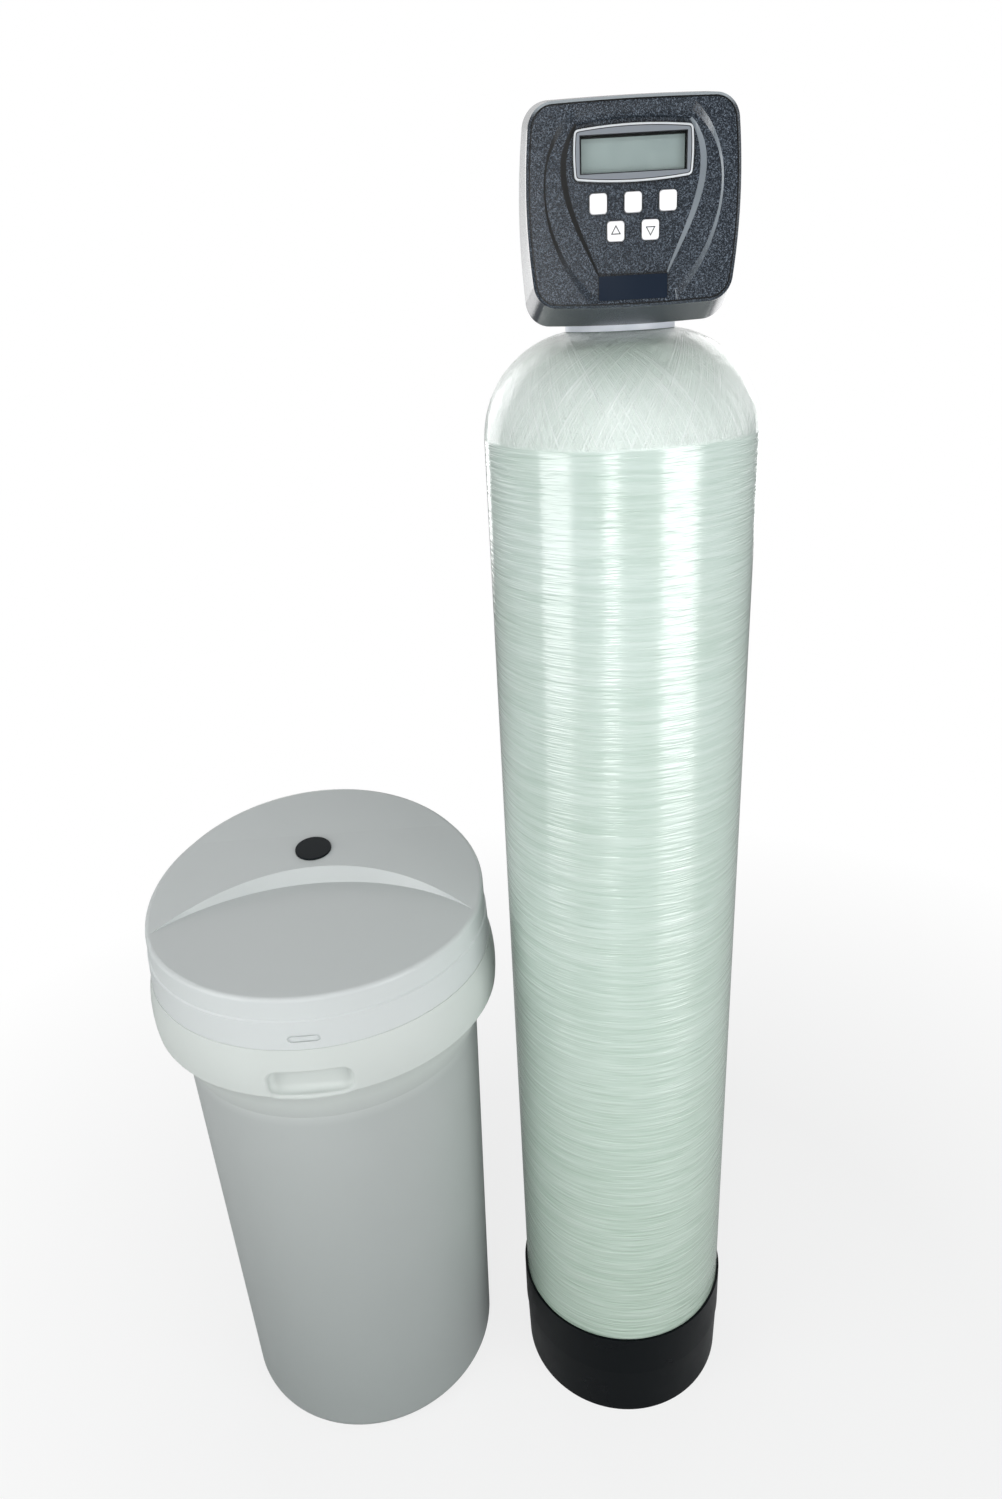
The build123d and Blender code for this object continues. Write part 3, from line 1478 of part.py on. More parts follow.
def pickup_tube():
    low = well_foot + seat_gap
    tube = post(pickup_radius, low + air_check_tall - overrun, block_low, pickup_x, well_y)
    cage = post(air_check_radius, low, low + air_check_tall, pickup_x, well_y)
    cage = fillet(cage.edges(), air_check_radius / 5)
    tube += cage
    tube -= post(pickup_radius - pickup_wall, low + air_check_radius, block_low + overrun, pickup_x, well_y)
    return tube - block(0, 2 * pickup_x, well_y - well_slot / 2, well_y + well_slot / 2,
                        low + air_check_radius,
                        low + 2 * air_check_radius)


def side_radius(height, inset):
    """Radius of the tank's side at a height, or of its inner wall."""
    share = (height - tank_foot_round) / (tank_body_top - tank_foot_round)
    return tank_foot_radius + share * (tank_body_radius - tank_foot_radius) - inset


def wall_fitting(height, inner_end, socket):
    """Elbow through the tank's side, along +Y, with its outlet turned along +X."""
    flange = side_radius(height + fitting_flange_radius, 0) + slide_gap
    flange_end = flange + fitting_flange_thick
    body_end = flange_end + fitting_body_length
    arm = fitting_arm_radius if socket else overflow_hose_radius
    arm_bore = tube_bore_radius if socket else overflow_bore_radius
    arm_y = flange_end + fitting_body_length / 2
    body = bar(fitting_radius, inner_end, flange, 0, height)
    body += bar(fitting_flange_radius, flange, flange_end, 0, height)
    body += bar(fitting_body_radius, flange, body_end, 0, height)
    body += cross_bar(arm, 0, fitting_arm_length, arm_y, height)
    if not socket:
        body += cross_bar(overflow_shoulder_radius, 0, overflow_shoulder_reach, arm_y, height)
    body -= bar(fitting_bore_radius, inner_end - overrun, arm_y, 0, height)
    body -= cross_bar(arm_bore, 0, fitting_arm_length + overrun, arm_y, height)
    if socket:
        body -= cross_bar(tube_socket_radius, fitting_arm_length - tube_socket_depth,
                          fitting_arm_length + overrun,
                          arm_y, height)
    return body


def tank_elbow():
    return wall_fitting(fitting_height, valve_boss_end, True)


def overflow_elbow():
    inner_end = side_radius(overflow_height, tank_wall) - 2 * fitting_nut_thick
    return Rot(0, 0, overflow_angle) * wall_fitting(overflow_height, inner_end, False)


def chord_drop(radius, half):
    """How far a flat face must stand off a round wall to clear it at half its width."""
    return radius - sqrt(radius ** 2 - half ** 2)


def wall_nut(inner_wall, height, wall_radius):
    back = inner_wall - chord_drop(wall_radius, fitting_flange_radius) - slide_gap
    body = (Pos(0, back, height) * Rot(90, 0, 0)
            * extrude(RegularPolygon(fitting_flange_radius, 6), fitting_nut_thick))
    return body - bar(fitting_radius + slide_gap, 0, 2 * tank_body_radius, 0, height)


def wall_nuts():
    well_inner = well_y + well_radius - well_wall
    tank_inner = side_radius(overflow_height - fitting_flange_radius, tank_wall)
    return [wall_nut(well_inner, fitting_height, well_radius - well_wall),
            Rot(0, 0, overflow_angle) * wall_nut(tank_inner, overflow_height, tank_inner)]


tank_place = Pos(tank_x, tank_y, 0) * Rot(0, 0, tank_yaw)

whole = {
    "resin_vessel": resin_vessel(),
    "vessel_liner": vessel_liner(),
    "neck_insert": neck_insert(),
    "vessel_boot": vessel_boot(),
    "riser_tube": riser_tube(),
    "bottom_basket": bottom_basket(),
    "upper_basket": upper_basket(),
    "gravel_bed": bed(0, gravel_top),
    "resin_bed": bed(gravel_top, resin_top),
    "tank_adapter": tank_adapter(),
    "valve_body": valve_body(),
    "drive_cap": drive_cap(),
    "spacer_stack": spacer_stack(),
    "rubber_rings": Compound(children=o_ring_set() + stack_seals()),
    "main_piston": main_piston(),
    "regenerant_piston": regenerant_piston(),
    "drive_gear": drive_gear(),
    "second_gear": second_gear(),
    "first_gear": first_gear(),
    "motor_pinion": motor_pinion(),
    "drive_motor": drive_motor(),
    "drive_bracket": drive_bracket(),
    "gear_cover": gear_cover(),
    "circuit_board": circuit_board(),
    "lcd_display": lcd_display(),
    "display_window": display_window(),
    "display_bezel": display_bezel(),
    "front_cover": front_cover(),
    "back_plate": back_plate(),
    "blank_plate": blank_plate(),
    "cord_gland": cord_gland(),
    "injector": injector(),
    "injector_cap": injector_cap(),
    "drain_elbow": drain_elbow(),
    "drain_clip": drain_clip(),
    "brine_elbow": brine_elbow(),
    "brine_elbow_nut": brine_elbow_nut(),
    "meter_cap": meter_cap(),
    "meter_turbine": meter_turbine(),
    "port_connectors": Compound(children=[port_connector(side) for side in (-1, 1)]),
    "split_rings": Compound(children=[split_ring(side) for side in (-1, 1)]),
    "port_nuts": Compound(children=[port_nut(side) for side in (-1, 1)]),
}
for name, place in key_places().items():
    whole[name] = key(place)

in_tank = {
    "brine_tank": brine_tank(),
    "brine_lid": brine_lid(),
    "lid_plug": lid_plug(),
    "brine_well": brine_well(),
    "well_cap": well_cap(),
    "salt_grid": salt_grid(),
    "brine_valve": brine_valve(),
    "float_rod": float_rod(),
    "brine_float": brine_float(),
    "pickup_tube": pickup_tube(),
    "tank_elbow": tank_elbow(),
    "overflow_elbow": overflow_elbow(),
    "wall_nuts": Compound(children=wall_nuts()),
}
for name, shape in in_tank.items():
    whole[name] = tank_place * shape

for name, shape in whole.items():
    save(name, shape)
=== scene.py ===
import math

import bpy
from mathutils import Matrix, Vector


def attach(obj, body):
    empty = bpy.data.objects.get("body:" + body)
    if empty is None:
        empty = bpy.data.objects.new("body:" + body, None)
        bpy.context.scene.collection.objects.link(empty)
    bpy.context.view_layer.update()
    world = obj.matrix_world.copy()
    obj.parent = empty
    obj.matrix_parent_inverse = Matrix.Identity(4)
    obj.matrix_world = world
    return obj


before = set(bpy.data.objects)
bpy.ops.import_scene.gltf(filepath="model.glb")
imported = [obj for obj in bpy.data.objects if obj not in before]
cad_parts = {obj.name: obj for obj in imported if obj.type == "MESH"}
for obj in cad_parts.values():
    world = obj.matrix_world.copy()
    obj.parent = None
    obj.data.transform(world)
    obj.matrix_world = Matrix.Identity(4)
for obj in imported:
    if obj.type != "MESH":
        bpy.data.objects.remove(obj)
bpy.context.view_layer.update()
bpy.ops.object.select_all(action="DESELECT")


# The photographer's view: a camera at chest height close in front of the softener, tipped
# down, so that the upright vessel and tank lean apart as they do in the photograph.
scene = bpy.context.scene
camera_data = bpy.data.cameras.new("photographer")
camera_data.sensor_width = 36.0
camera_data.lens = 24.56
camera_data.clip_start = 0.05
camera = bpy.data.objects.new("photographer", camera_data)
scene.collection.objects.link(camera)
camera_place = (-0.09265, -1.00664, 1.34715)
camera_yaw, camera_pitch, camera_roll = 0.0354, 0.4183, -0.0529
camera.matrix_world = (
    Matrix.Translation(camera_place)
    @ Matrix.Rotation(camera_yaw, 4, "Z")
    @ Matrix.Rotation(math.pi / 2 - camera_pitch, 4, "X")
    @ Matrix.Rotation(camera_roll, 4, "Z")
)
scene.camera = camera


# The studio: white paper on the floor, a white room, four softboxes in front and above, whose
# tall reflections run down the shiny vessel as they do in the photograph, and two faint ones
# behind, that light the valve's and the tank's backs.
def linear(hex_colour):
    """An sRGB hex colour as linear red, green, blue and alpha."""
    channels = [int(hex_colour[i:i + 2], 16) / 255 for i in (1, 3, 5)]
    return tuple(c / 12.92 if c <= 0.04045 else ((c + 0.055) / 1.055) ** 2.4 for c in channels) + (1.0,)


def add(tree, kind, inputs=None, **settings):
    """Add a node with its settings.

    An input is a value, another node's output, or a node for its first output.
    """
    node = tree.nodes.new(kind)
    for name, value in settings.items():
        setattr(node, name, value)
    for socket, value in (inputs or {}).items():
        if isinstance(value, bpy.types.Node):
            value = value.outputs[0]
        if isinstance(value, bpy.types.NodeSocket):
            tree.links.new(value, node.inputs[socket])
        else:
            node.inputs[socket].default_value = value
    return node


def new_material(name):
    """An empty material and its node tree."""
    material = bpy.data.materials.new(name)
    material.use_nodes = True
    material.node_tree.nodes.clear()
    return material, material.node_tree


def seen_directly(tree):
    """1 for what the camera sees straight, mirrored or through glass, and 0 for light on things."""
    path = add(tree, "ShaderNodeLightPath")
    mirrored = add(tree, "ShaderNodeMath", {0: path.outputs["Is Camera Ray"],
                                            1: path.outputs["Is Glossy Ray"]}, operation="MAXIMUM")
    return add(tree, "ShaderNodeMath", {0: mirrored, 1: path.outputs["Is Transmission Ray"]},
               operation="MAXIMUM")


# The white paper hangs behind the softener, and the room behind the photographer is dimmer:
# the camera sees white everywhere, mirrors see the two halves, and things get the room's light.
white = (1.0, 1.0, 1.0, 1.0)
room_light_level = 0.29
dim_half, white_half = 0.12, 1.0
room = bpy.data.worlds.new("white_room")
room.use_nodes = True
walls = room.node_tree
walls.nodes.clear()
around = add(walls, "ShaderNodeSeparateXYZ", {0: add(walls, "ShaderNodeTexCoord").outputs["Generated"]})
behind = add(walls, "ShaderNodeMapRange", {"Value": around.outputs["Y"], "From Min": -0.45,
                                           "From Max": 0.25, "To Min": dim_half, "To Max": white_half},
             interpolation_type="SMOOTHSTEP")
camera_only = add(walls, "ShaderNodeLightPath").outputs["Is Camera Ray"]
mirrored = add(walls, "ShaderNodeMath", {0: behind, 1: camera_only}, operation="MAXIMUM")
strength = add(walls, "ShaderNodeMix", {0: seen_directly(walls), 2: room_light_level, 3: mirrored},
               data_type="FLOAT")
room_light = add(walls, "ShaderNodeBackground", {"Color": white, "Strength": strength})
add(walls, "ShaderNodeOutputWorld", {"Surface": room_light})
scene.world = room
scene.view_settings.view_transform = "Standard"


def softbox(name, place, aim, width, height, watts):
    """A rectangular lamp at a place, turned towards a point. The camera doesn't see it."""
    lamp = bpy.data.lights.new(name, "AREA")
    lamp.shape = "RECTANGLE"
    lamp.size, lamp.size_y, lamp.energy = width, height, watts
    holder = bpy.data.objects.new(name, lamp)
    holder.visible_camera = False
    scene.collection.objects.link(holder)
    facing = (Vector(aim) - Vector(place)).to_track_quat("-Z", "Y")
    holder.matrix_world = Matrix.Translation(place) @ facing.to_matrix().to_4x4()


softbox("left_softbox", (-1.40, -0.87, 1.05), (0.0, 0.0, 0.80), 0.80, 1.25, 11.3)
softbox("front_softbox", (-0.39, -1.90, 1.15), (0.0, 0.0, 1.0), 0.38, 1.0, 7.5)
softbox("top_softbox", (-0.40, -1.40, 2.45), (0.0, 0.0, 1.2), 1.7, 0.13, 7.0)
softbox("right_softbox", (1.25, -1.28, 0.85), (0.0, 0.0, 0.60), 1.00, 1.30, 20.0)
softbox("back_left_softbox", (-1.00, 2.20, 1.20), (-0.1, 0.0, 0.9), 0.6, 1.3, 4.5)
softbox("back_right_softbox", (0.90, 2.20, 1.20), (-0.1, 0.0, 0.9), 0.6, 1.3, 4.0)

# Away from the softener the paper burns out to pure white, and near it a faint shadow is left.
paper_size = 60.0
shadow_reach, white_reach = 0.5, 1.5
bpy.ops.mesh.primitive_grid_add(x_subdivisions=4, y_subdivisions=4, size=paper_size)
floor = bpy.context.object
floor.name = "paper_floor"
paper, tree = new_material("white_seamless_paper")
matt = add(tree, "ShaderNodeBsdfDiffuse", {"Color": linear("#c2c4c4")})
glow = add(tree, "ShaderNodeEmission", {"Color": white, "Strength": 1.0})
reach = add(tree, "ShaderNodeVectorMath", {0: add(tree, "ShaderNodeTexCoord").outputs["Object"]},
            operation="LENGTH")
burnt = add(tree, "ShaderNodeMapRange", {"Value": reach.outputs["Value"], "From Min": shadow_reach,
                                         "From Max": white_reach, "To Min": 0.80, "To Max": 1.0})
share = add(tree, "ShaderNodeMath", {0: add(tree, "ShaderNodeLightPath").outputs["Is Camera Ray"],
                                     1: burnt}, operation="MULTIPLY")
blend = add(tree, "ShaderNodeMixShader", {0: share, 1: matt, 2: glow})
add(tree, "ShaderNodeOutputMaterial", {"Surface": blend})
floor.data.materials.append(paper)


# The boot: a cup of black polyethylene, rotary moulded with a matt, faintly pebbled skin,
# that the vessel's round bottom is set in so that it stands.
def dress(material, *names):
    """Give CAD nodes a material."""
    for name in names:
        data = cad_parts[name].data
        data.materials.clear()
        data.materials.append(material)


def moulded(name, colour, roughness, grain_mm=0.8, grain_depth=0.03, shade=0.08, patch_mm=60.0,
            shine=0.5):
    """Moulded plastic: even colour with slow shading, and a fine grain in its skin.

    The grain's width and depth and the patches' width are in millimetres.
    """
    material, tree = new_material(name)
    place = add(tree, "ShaderNodeTexCoord").outputs["Object"]
    patches = add(tree, "ShaderNodeTexNoise", {"Vector": place, "Scale": 1000.0 / patch_mm,
                                               "Detail": 4.0})
    grain = add(tree, "ShaderNodeTexNoise", {"Vector": place, "Scale": 1000.0 / grain_mm,
                                             "Detail": 2.0})
    low, high = [tuple(c * k for c in linear(colour)[:3]) + (1.0,) for k in (1.0 - shade, 1.0 + shade)]
    tone = add(tree, "ShaderNodeMix", {0: patches, 6: low, 7: high}, data_type="RGBA")
    rough = add(tree, "ShaderNodeMapRange", {"Value": patches, "From Min": 0.3, "From Max": 0.7,
                                             "To Min": roughness - 0.05, "To Max": roughness + 0.05})
    bump = add(tree, "ShaderNodeBump", {"Height": grain, "Strength": 0.6,
                                        "Distance": grain_depth / 1000.0})
    shader = add(tree, "ShaderNodeBsdfPrincipled", {"Base Color": tone.outputs[2], "Roughness": rough,
                                                    "IOR": 1.5, "Specular IOR Level": shine,
                                                    "Normal": bump})
    add(tree, "ShaderNodeOutputMaterial", {"Surface": shader})
    return material


# Polyethylene loaded with carbon black: near black with a blue cast, and a soft broad shine.
boot_plastic = moulded("black_polyethylene", "#04080c", 0.30, grain_mm=1.6, grain_depth=0.03,
                       shine=0.10)
dress(boot_plastic, "vessel_boot")


# The resin vessel: a polyethylene liner wound with glass fibre wet with clear polyester
# resin. Crossed helical strands close the dome, and a hoop layer starts at a line below it.
# The levels are heights above the floor in metres.
hoop_top = 1.2235
neck_circle = 0.052
helix_twist = -3.2
helix_count = 90.0
helix_layers = 16.0


def hoop_strands(tree, parts, spacing_mm, length_mm, lean):
    """Nearly level strands, thin and long, by their height on the vessel."""
    tilted = add(tree, "ShaderNodeMath", {0: parts.outputs["X"], 1: lean, 2: parts.outputs["Z"]},
                 operation="MULTIPLY_ADD")
    spread = add(tree, "ShaderNodeCombineXYZ", {0: parts.outputs["X"], 1: parts.outputs["Y"],
                                                2: tilted})
    across, along = 1000.0 / spacing_mm, 1000.0 / length_mm
    squeezed = add(tree, "ShaderNodeMapping", {"Vector": spread, "Location": (spacing_mm, length_mm, 0.0),
                                               "Scale": (along, along, across)})
    return add(tree, "ShaderNodeTexNoise", {"Vector": squeezed, "Scale": 1.0, "Detail": 2.0,
                                            "Roughness": 0.5})


def helix_strands(tree, parts, way):
    """Strands that pass the neck at a tangent and run down the dome, one way round."""
    flat = add(tree, "ShaderNodeCombineXYZ", {0: parts.outputs["X"], 1: parts.outputs["Y"]})
    reach = add(tree, "ShaderNodeVectorMath", {0: flat}, operation="LENGTH").outputs["Value"]
    reach = add(tree, "ShaderNodeMath", {0: reach, 1: neck_circle * 0.8}, operation="MAXIMUM")
    near = add(tree, "ShaderNodeMath", {0: neck_circle, 1: reach}, operation="DIVIDE")
    near = add(tree, "ShaderNodeMath", {0: near, 1: 1.0}, operation="MINIMUM")
    swing = add(tree, "ShaderNodeMath", {0: near}, operation="ARCCOSINE")
    turn = add(tree, "ShaderNodeMath", {0: parts.outputs["Z"], 1: helix_twist, 2: swing},
               operation="MULTIPLY_ADD")
    turn = add(tree, "ShaderNodeMath", {0: turn, 1: way}, operation="MULTIPLY")
    spun = add(tree, "ShaderNodeVectorRotate", {"Vector": flat, "Axis": (0.0, 0.0, 1.0), "Angle": turn})
    unit = add(tree, "ShaderNodeVectorMath", {0: spun}, operation="NORMALIZE")
    layers = add(tree, "ShaderNodeCombineXYZ", {2: parts.outputs["Z"]})
    label = add(tree, "ShaderNodeVectorMath", {0: unit, 1: (helix_count, helix_count, 1.0), 2: layers},
                operation="MULTIPLY_ADD")
    shifted = add(tree, "ShaderNodeMapping", {"Vector": label, "Location": (3.0 * way, 0.0, 0.0),
                                              "Scale": (1.0, 1.0, helix_layers)})
    return add(tree, "ShaderNodeTexNoise", {"Vector": shifted, "Scale": 1.0, "Detail": 3.0,
                                            "Roughness": 0.6})


def wound_glass():
    """Fibreglass under clear resin: pale green, with every strand's ridge catching the light."""
    material, tree = new_material("wound_fibreglass")
    place = add(tree, "ShaderNodeTexCoord").outputs["Object"]
    parts = add(tree, "ShaderNodeSeparateXYZ", {0: place})
    height = parts.outputs["Z"]

    # The hoop tows lie about 4 mm apart, and bundles of fibres in them about 1.6 mm. A single
    # fibre is far too fine to show.
    tows = hoop_strands(tree, parts, 3.8, 75.0, 0.03)
    fibres = hoop_strands(tree, parts, 1.6, 48.0, -0.025)
    hoops = add(tree, "ShaderNodeMath", {0: fibres, 1: 0.55, 2: tows}, operation="MULTIPLY_ADD")
    crossed = add(tree, "ShaderNodeMath", {0: helix_strands(tree, parts, 1.0),
                                           1: helix_strands(tree, parts, -1.0)}, operation="MAXIMUM")
    crossed = add(tree, "ShaderNodeMath", {0: crossed, 1: 2.1}, operation="MULTIPLY")

    # The line where the hoop layer starts wanders by a few millimetres.
    wobble = add(tree, "ShaderNodeTexNoise", {"Vector": place, "Scale": 9.0, "Detail": 1.0})
    level = add(tree, "ShaderNodeMath", {0: wobble, 1: 0.004, 2: height}, operation="MULTIPLY_ADD")
    on_hoops = add(tree, "ShaderNodeMapRange", {"Value": level, "From Min": hoop_top + 0.0045,
                                                "From Max": hoop_top + 0.0005,
                                                "To Min": 0.0, "To Max": 1.0})
    ridges = add(tree, "ShaderNodeMix", {0: on_hoops, 2: crossed, 3: hoops}, data_type="FLOAT")

    # The vessel is darker and greener towards its foot, which is painted shade. The dome is paler, which
    # is painted light, lifted most round the neck against the cover's shadow, where the tone is greener.
    # Slow pools are greener too.
    # Painted shade: the hoops darken and turn greener towards the foot.
    depth = add(tree, "ShaderNodeMapRange", {"Value": height, "From Min": 0.15, "From Max": 1.15})
    body = add(tree, "ShaderNodeMix", {0: depth, 6: linear("#a3bba9"), 7: linear("#cbddd6")},
               data_type="RGBA")
    # Painted light: the dome is paler than the hoops, and its greener band round the neck is lifted
    # against the cover's shadow.
    near_neck = add(tree, "ShaderNodeMapRange", {"Value": height, "From Min": 1.270, "From Max": 1.312})
    dome = add(tree, "ShaderNodeMix", {0: near_neck, 6: linear("#f0faf7"), 7: linear("#ddf2e2")},
               data_type="RGBA")
    base = add(tree, "ShaderNodeMix", {0: on_hoops, 6: dome.outputs[2], 7: body.outputs[2]},
               data_type="RGBA")
    pools = add(tree, "ShaderNodeTexNoise", {"Vector": place, "Scale": 11.0, "Detail": 3.0})
    pooled = add(tree, "ShaderNodeMapRange", {"Value": pools, "From Min": 0.35, "From Max": 0.70,
                                              "To Min": 0.0, "To Max": 0.35})
    green = add(tree, "ShaderNodeMix", {0: pooled, 6: base.outputs[2], 7: linear("#b1c7b8")},
                data_type="RGBA")

    # Glass lies near the surface on the ridges, which are paler, and resin fills the valleys.
    hoop_streak = add(tree, "ShaderNodeMapRange", {"Value": hoops, "From Min": 0.55, "From Max": 1.0})
    cross_streak = add(tree, "ShaderNodeMapRange", {"Value": crossed, "From Min": 1.10, "From Max": 1.46})
    streak = add(tree, "ShaderNodeMix", {0: on_hoops, 2: cross_streak, 3: hoop_streak},
                 data_type="FLOAT")
    valley = add(tree, "ShaderNodeMix", {0: on_hoops, 6: linear("#c6d8cd"), 7: linear("#a4baab")},
                 data_type="RGBA")
    streaked = add(tree, "ShaderNodeMix", {0: streak, 6: valley.outputs[2], 7: linear("#f6fcfa")},
                   data_type="RGBA")
    streaks_show = add(tree, "ShaderNodeMapRange", {"Value": on_hoops, "To Min": 0.42, "To Max": 0.22})
    tone = add(tree, "ShaderNodeMix", {0: streaks_show, 6: green.outputs[2], 7: streaked.outputs[2]},
               data_type="RGBA")

    bump = add(tree, "ShaderNodeBump", {"Height": ridges, "Strength": 0.9, "Distance": 0.0013})
    shader = add(tree, "ShaderNodeBsdfPrincipled", {
        "Base Color": tone.outputs[2], "Roughness": 0.30, "IOR": 1.55, "Specular IOR Level": 0.6,
        "Anisotropic": 0.8, "Anisotropic Rotation": 0.25, "Coat Weight": 1.0, "Coat Roughness": 0.04,
        "Coat IOR": 1.6, "Normal": bump, "Coat Normal": bump})
    add(tree, "ShaderNodeOutputMaterial", {"Surface": shader})
    return material


dress(wound_glass(), "resin_vessel")


# The neck insert: a white moulded ring bonded in the vessel's mouth, threaded inside for
# the valve. Only its flange shows, between the dome and the valve.
# Filled white plastic: cool, satin and even, the palest band under the dark cover.
neck_plastic = moulded("white_moulded_neck", "#dfe5ee", 0.35, grain_mm=0.6, grain_depth=0.01)
dress(neck_plastic, "neck_insert")


# What stands inside the vessel: the blown liner, the PVC riser with its strainers, washed
# gravel and amber resin beads. None of it shows while the vessel is whole.
# Blown polyethylene is milky and dull, and PVC pipe is a warmer white with a smooth skin.
liner_plastic = moulded("blown_polyethylene", "#dfe3e0", 0.42, grain_mm=2.0)
pvc = moulded("white_pvc_pipe", "#e4e4df", 0.32, grain_mm=1.0, grain_depth=0.01)
strainer_plastic = moulded("light_grey_abs", "#cfd0cf", 0.38)
# Gravel is dull and uneven, stone by stone, and the beads are glossy amber grains of 0.9 mm.
gravel = moulded("washed_quartz_gravel", "#a29579", 0.7, grain_mm=4.0, grain_depth=1.5, shade=0.35,
                 patch_mm=5.0)
beads = moulded("ion_exchange_beads", "#a9762f", 0.3, grain_mm=0.9, grain_depth=0.4, shade=0.25,
                patch_mm=3.0)
dress(liner_plastic, "vessel_liner")
dress(pvc, "riser_tube")
dress(strainer_plastic, "bottom_basket", "upper_basket")
dress(gravel, "gravel_bed")
dress(beads, "resin_bed")


# The valve body and its pipework: glass-filled nylon mouldings, black, with nuts and
# clips of the same, white PVC sockets for the pipes, and rubber rings in the joints.
# The glass in the nylon greys it and dulls its skin, acetal is blacker and slick, and
# rubber is the dullest of the three.
nylon = moulded("glass_filled_nylon", "#1b1c1e", 0.42, grain_mm=1.2, grain_depth=0.04, shade=0.12)
acetal = moulded("black_acetal", "#15171a", 0.30, grain_mm=0.6, grain_depth=0.01)
nitrile = moulded("nitrile_rubber", "#0d0d0e", 0.55, grain_mm=0.5, grain_depth=0.02)
dress(nylon, "tank_adapter", "valve_body", "drive_cap", "drain_clip", "port_nuts", "injector_cap",
      "meter_cap", "split_rings", "spacer_stack")
dress(acetal, "injector", "drain_elbow", "brine_elbow", "brine_elbow_nut", "cord_gland")
dress(nitrile, "rubber_rings")
dress(pvc, "port_connectors")


# The drive behind the cover: acetal gears on pins, a small motor in a drawn steel can, and
# smooth acetal pistons, on a bracket of dark moulded plastic.
# Undyed acetal is a creamy white with a waxy shine, and the bracket's plastic is plain.
gear_acetal = moulded("natural_acetal", "#e6e2d4", 0.30, grain_mm=0.8, grain_depth=0.01)
bracket_plastic = moulded("dark_grey_abs", "#2b2d30", 0.45)
dress(gear_acetal, "drive_gear", "second_gear", "first_gear", "main_piston", "regenerant_piston",
      "meter_turbine")
dress(bracket_plastic, "drive_bracket", "gear_cover", "back_plate")


def metal(name, colour, roughness, grain_mm, depth_mm):
    """Drawn or turned metal: fine scratches round its axis."""
    material, tree = new_material(name)
    place = add(tree, "ShaderNodeTexCoord").outputs["Object"]
    drawn = add(tree, "ShaderNodeMapping", {"Vector": place, "Scale": (0.05, 1.0, 0.05)})
    lines = add(tree, "ShaderNodeTexNoise", {"Vector": drawn, "Scale": 1000.0 / grain_mm,
                                             "Detail": 3.0})
    rough = add(tree, "ShaderNodeMapRange", {"Value": lines, "From Min": 0.3, "From Max": 0.7,
                                             "To Min": roughness - 0.08, "To Max": roughness + 0.08})
    bump = add(tree, "ShaderNodeBump", {"Height": lines, "Strength": 0.5, "Distance": depth_mm / 1000.0})
    shader = add(tree, "ShaderNodeBsdfPrincipled", {"Base Color": linear(colour), "Metallic": 1.0,
                                                    "Roughness": rough, "Normal": bump})
    add(tree, "ShaderNodeOutputMaterial", {"Surface": shader})
    return material


# Zinc gives the motor's can a cool grey shine, and the turned brass pinion is warm and bright.
dress(metal("zinc_plated_steel", "#b9bcbf", 0.32, 0.4, 0.01), "drive_motor")
dress(metal("machined_brass", "#c9a45a", 0.28, 0.3, 0.01), "motor_pinion")
# Green solder mask over woven glass: glossy, with a faint weave under it.
board_green = moulded("glass_epoxy_board", "#0f4a2c", 0.35, grain_mm=1.0, grain_depth=0.02, shade=0.2,
                      patch_mm=8.0)
dress(board_green, "circuit_board")


# The cover: injection moulded ABS, charcoal, with a spark-eroded texture that glitters in fine points
# where it catches the light, and pale flecks painted into its colour as glints. Its side walls flare back
# from the face.
# The grit is about 0.4 mm across, drawn at twice that so that it shows.
grit_mm = 0.9
# The painted edge highlights and shade reach the face alone: they start at the first level from the back,
# and are full at the second.
face_back, face_front = -0.1085, -0.1095
# The two right-hand bevels and the top edge carry a painted highlight, and the two left-hand bevels
# painted shade in black. Each is told by the way it faces and, for bevels, by its side of the middle.
painted_edge_light_and_shade = (
    ("Z", 0.35, 0.60, None, "#a4adb3"),
    ("X", -0.12, -0.40, 0.004, "#858d94"),
    ("X", 0.12, 0.30, -0.004, "#010203"),
)


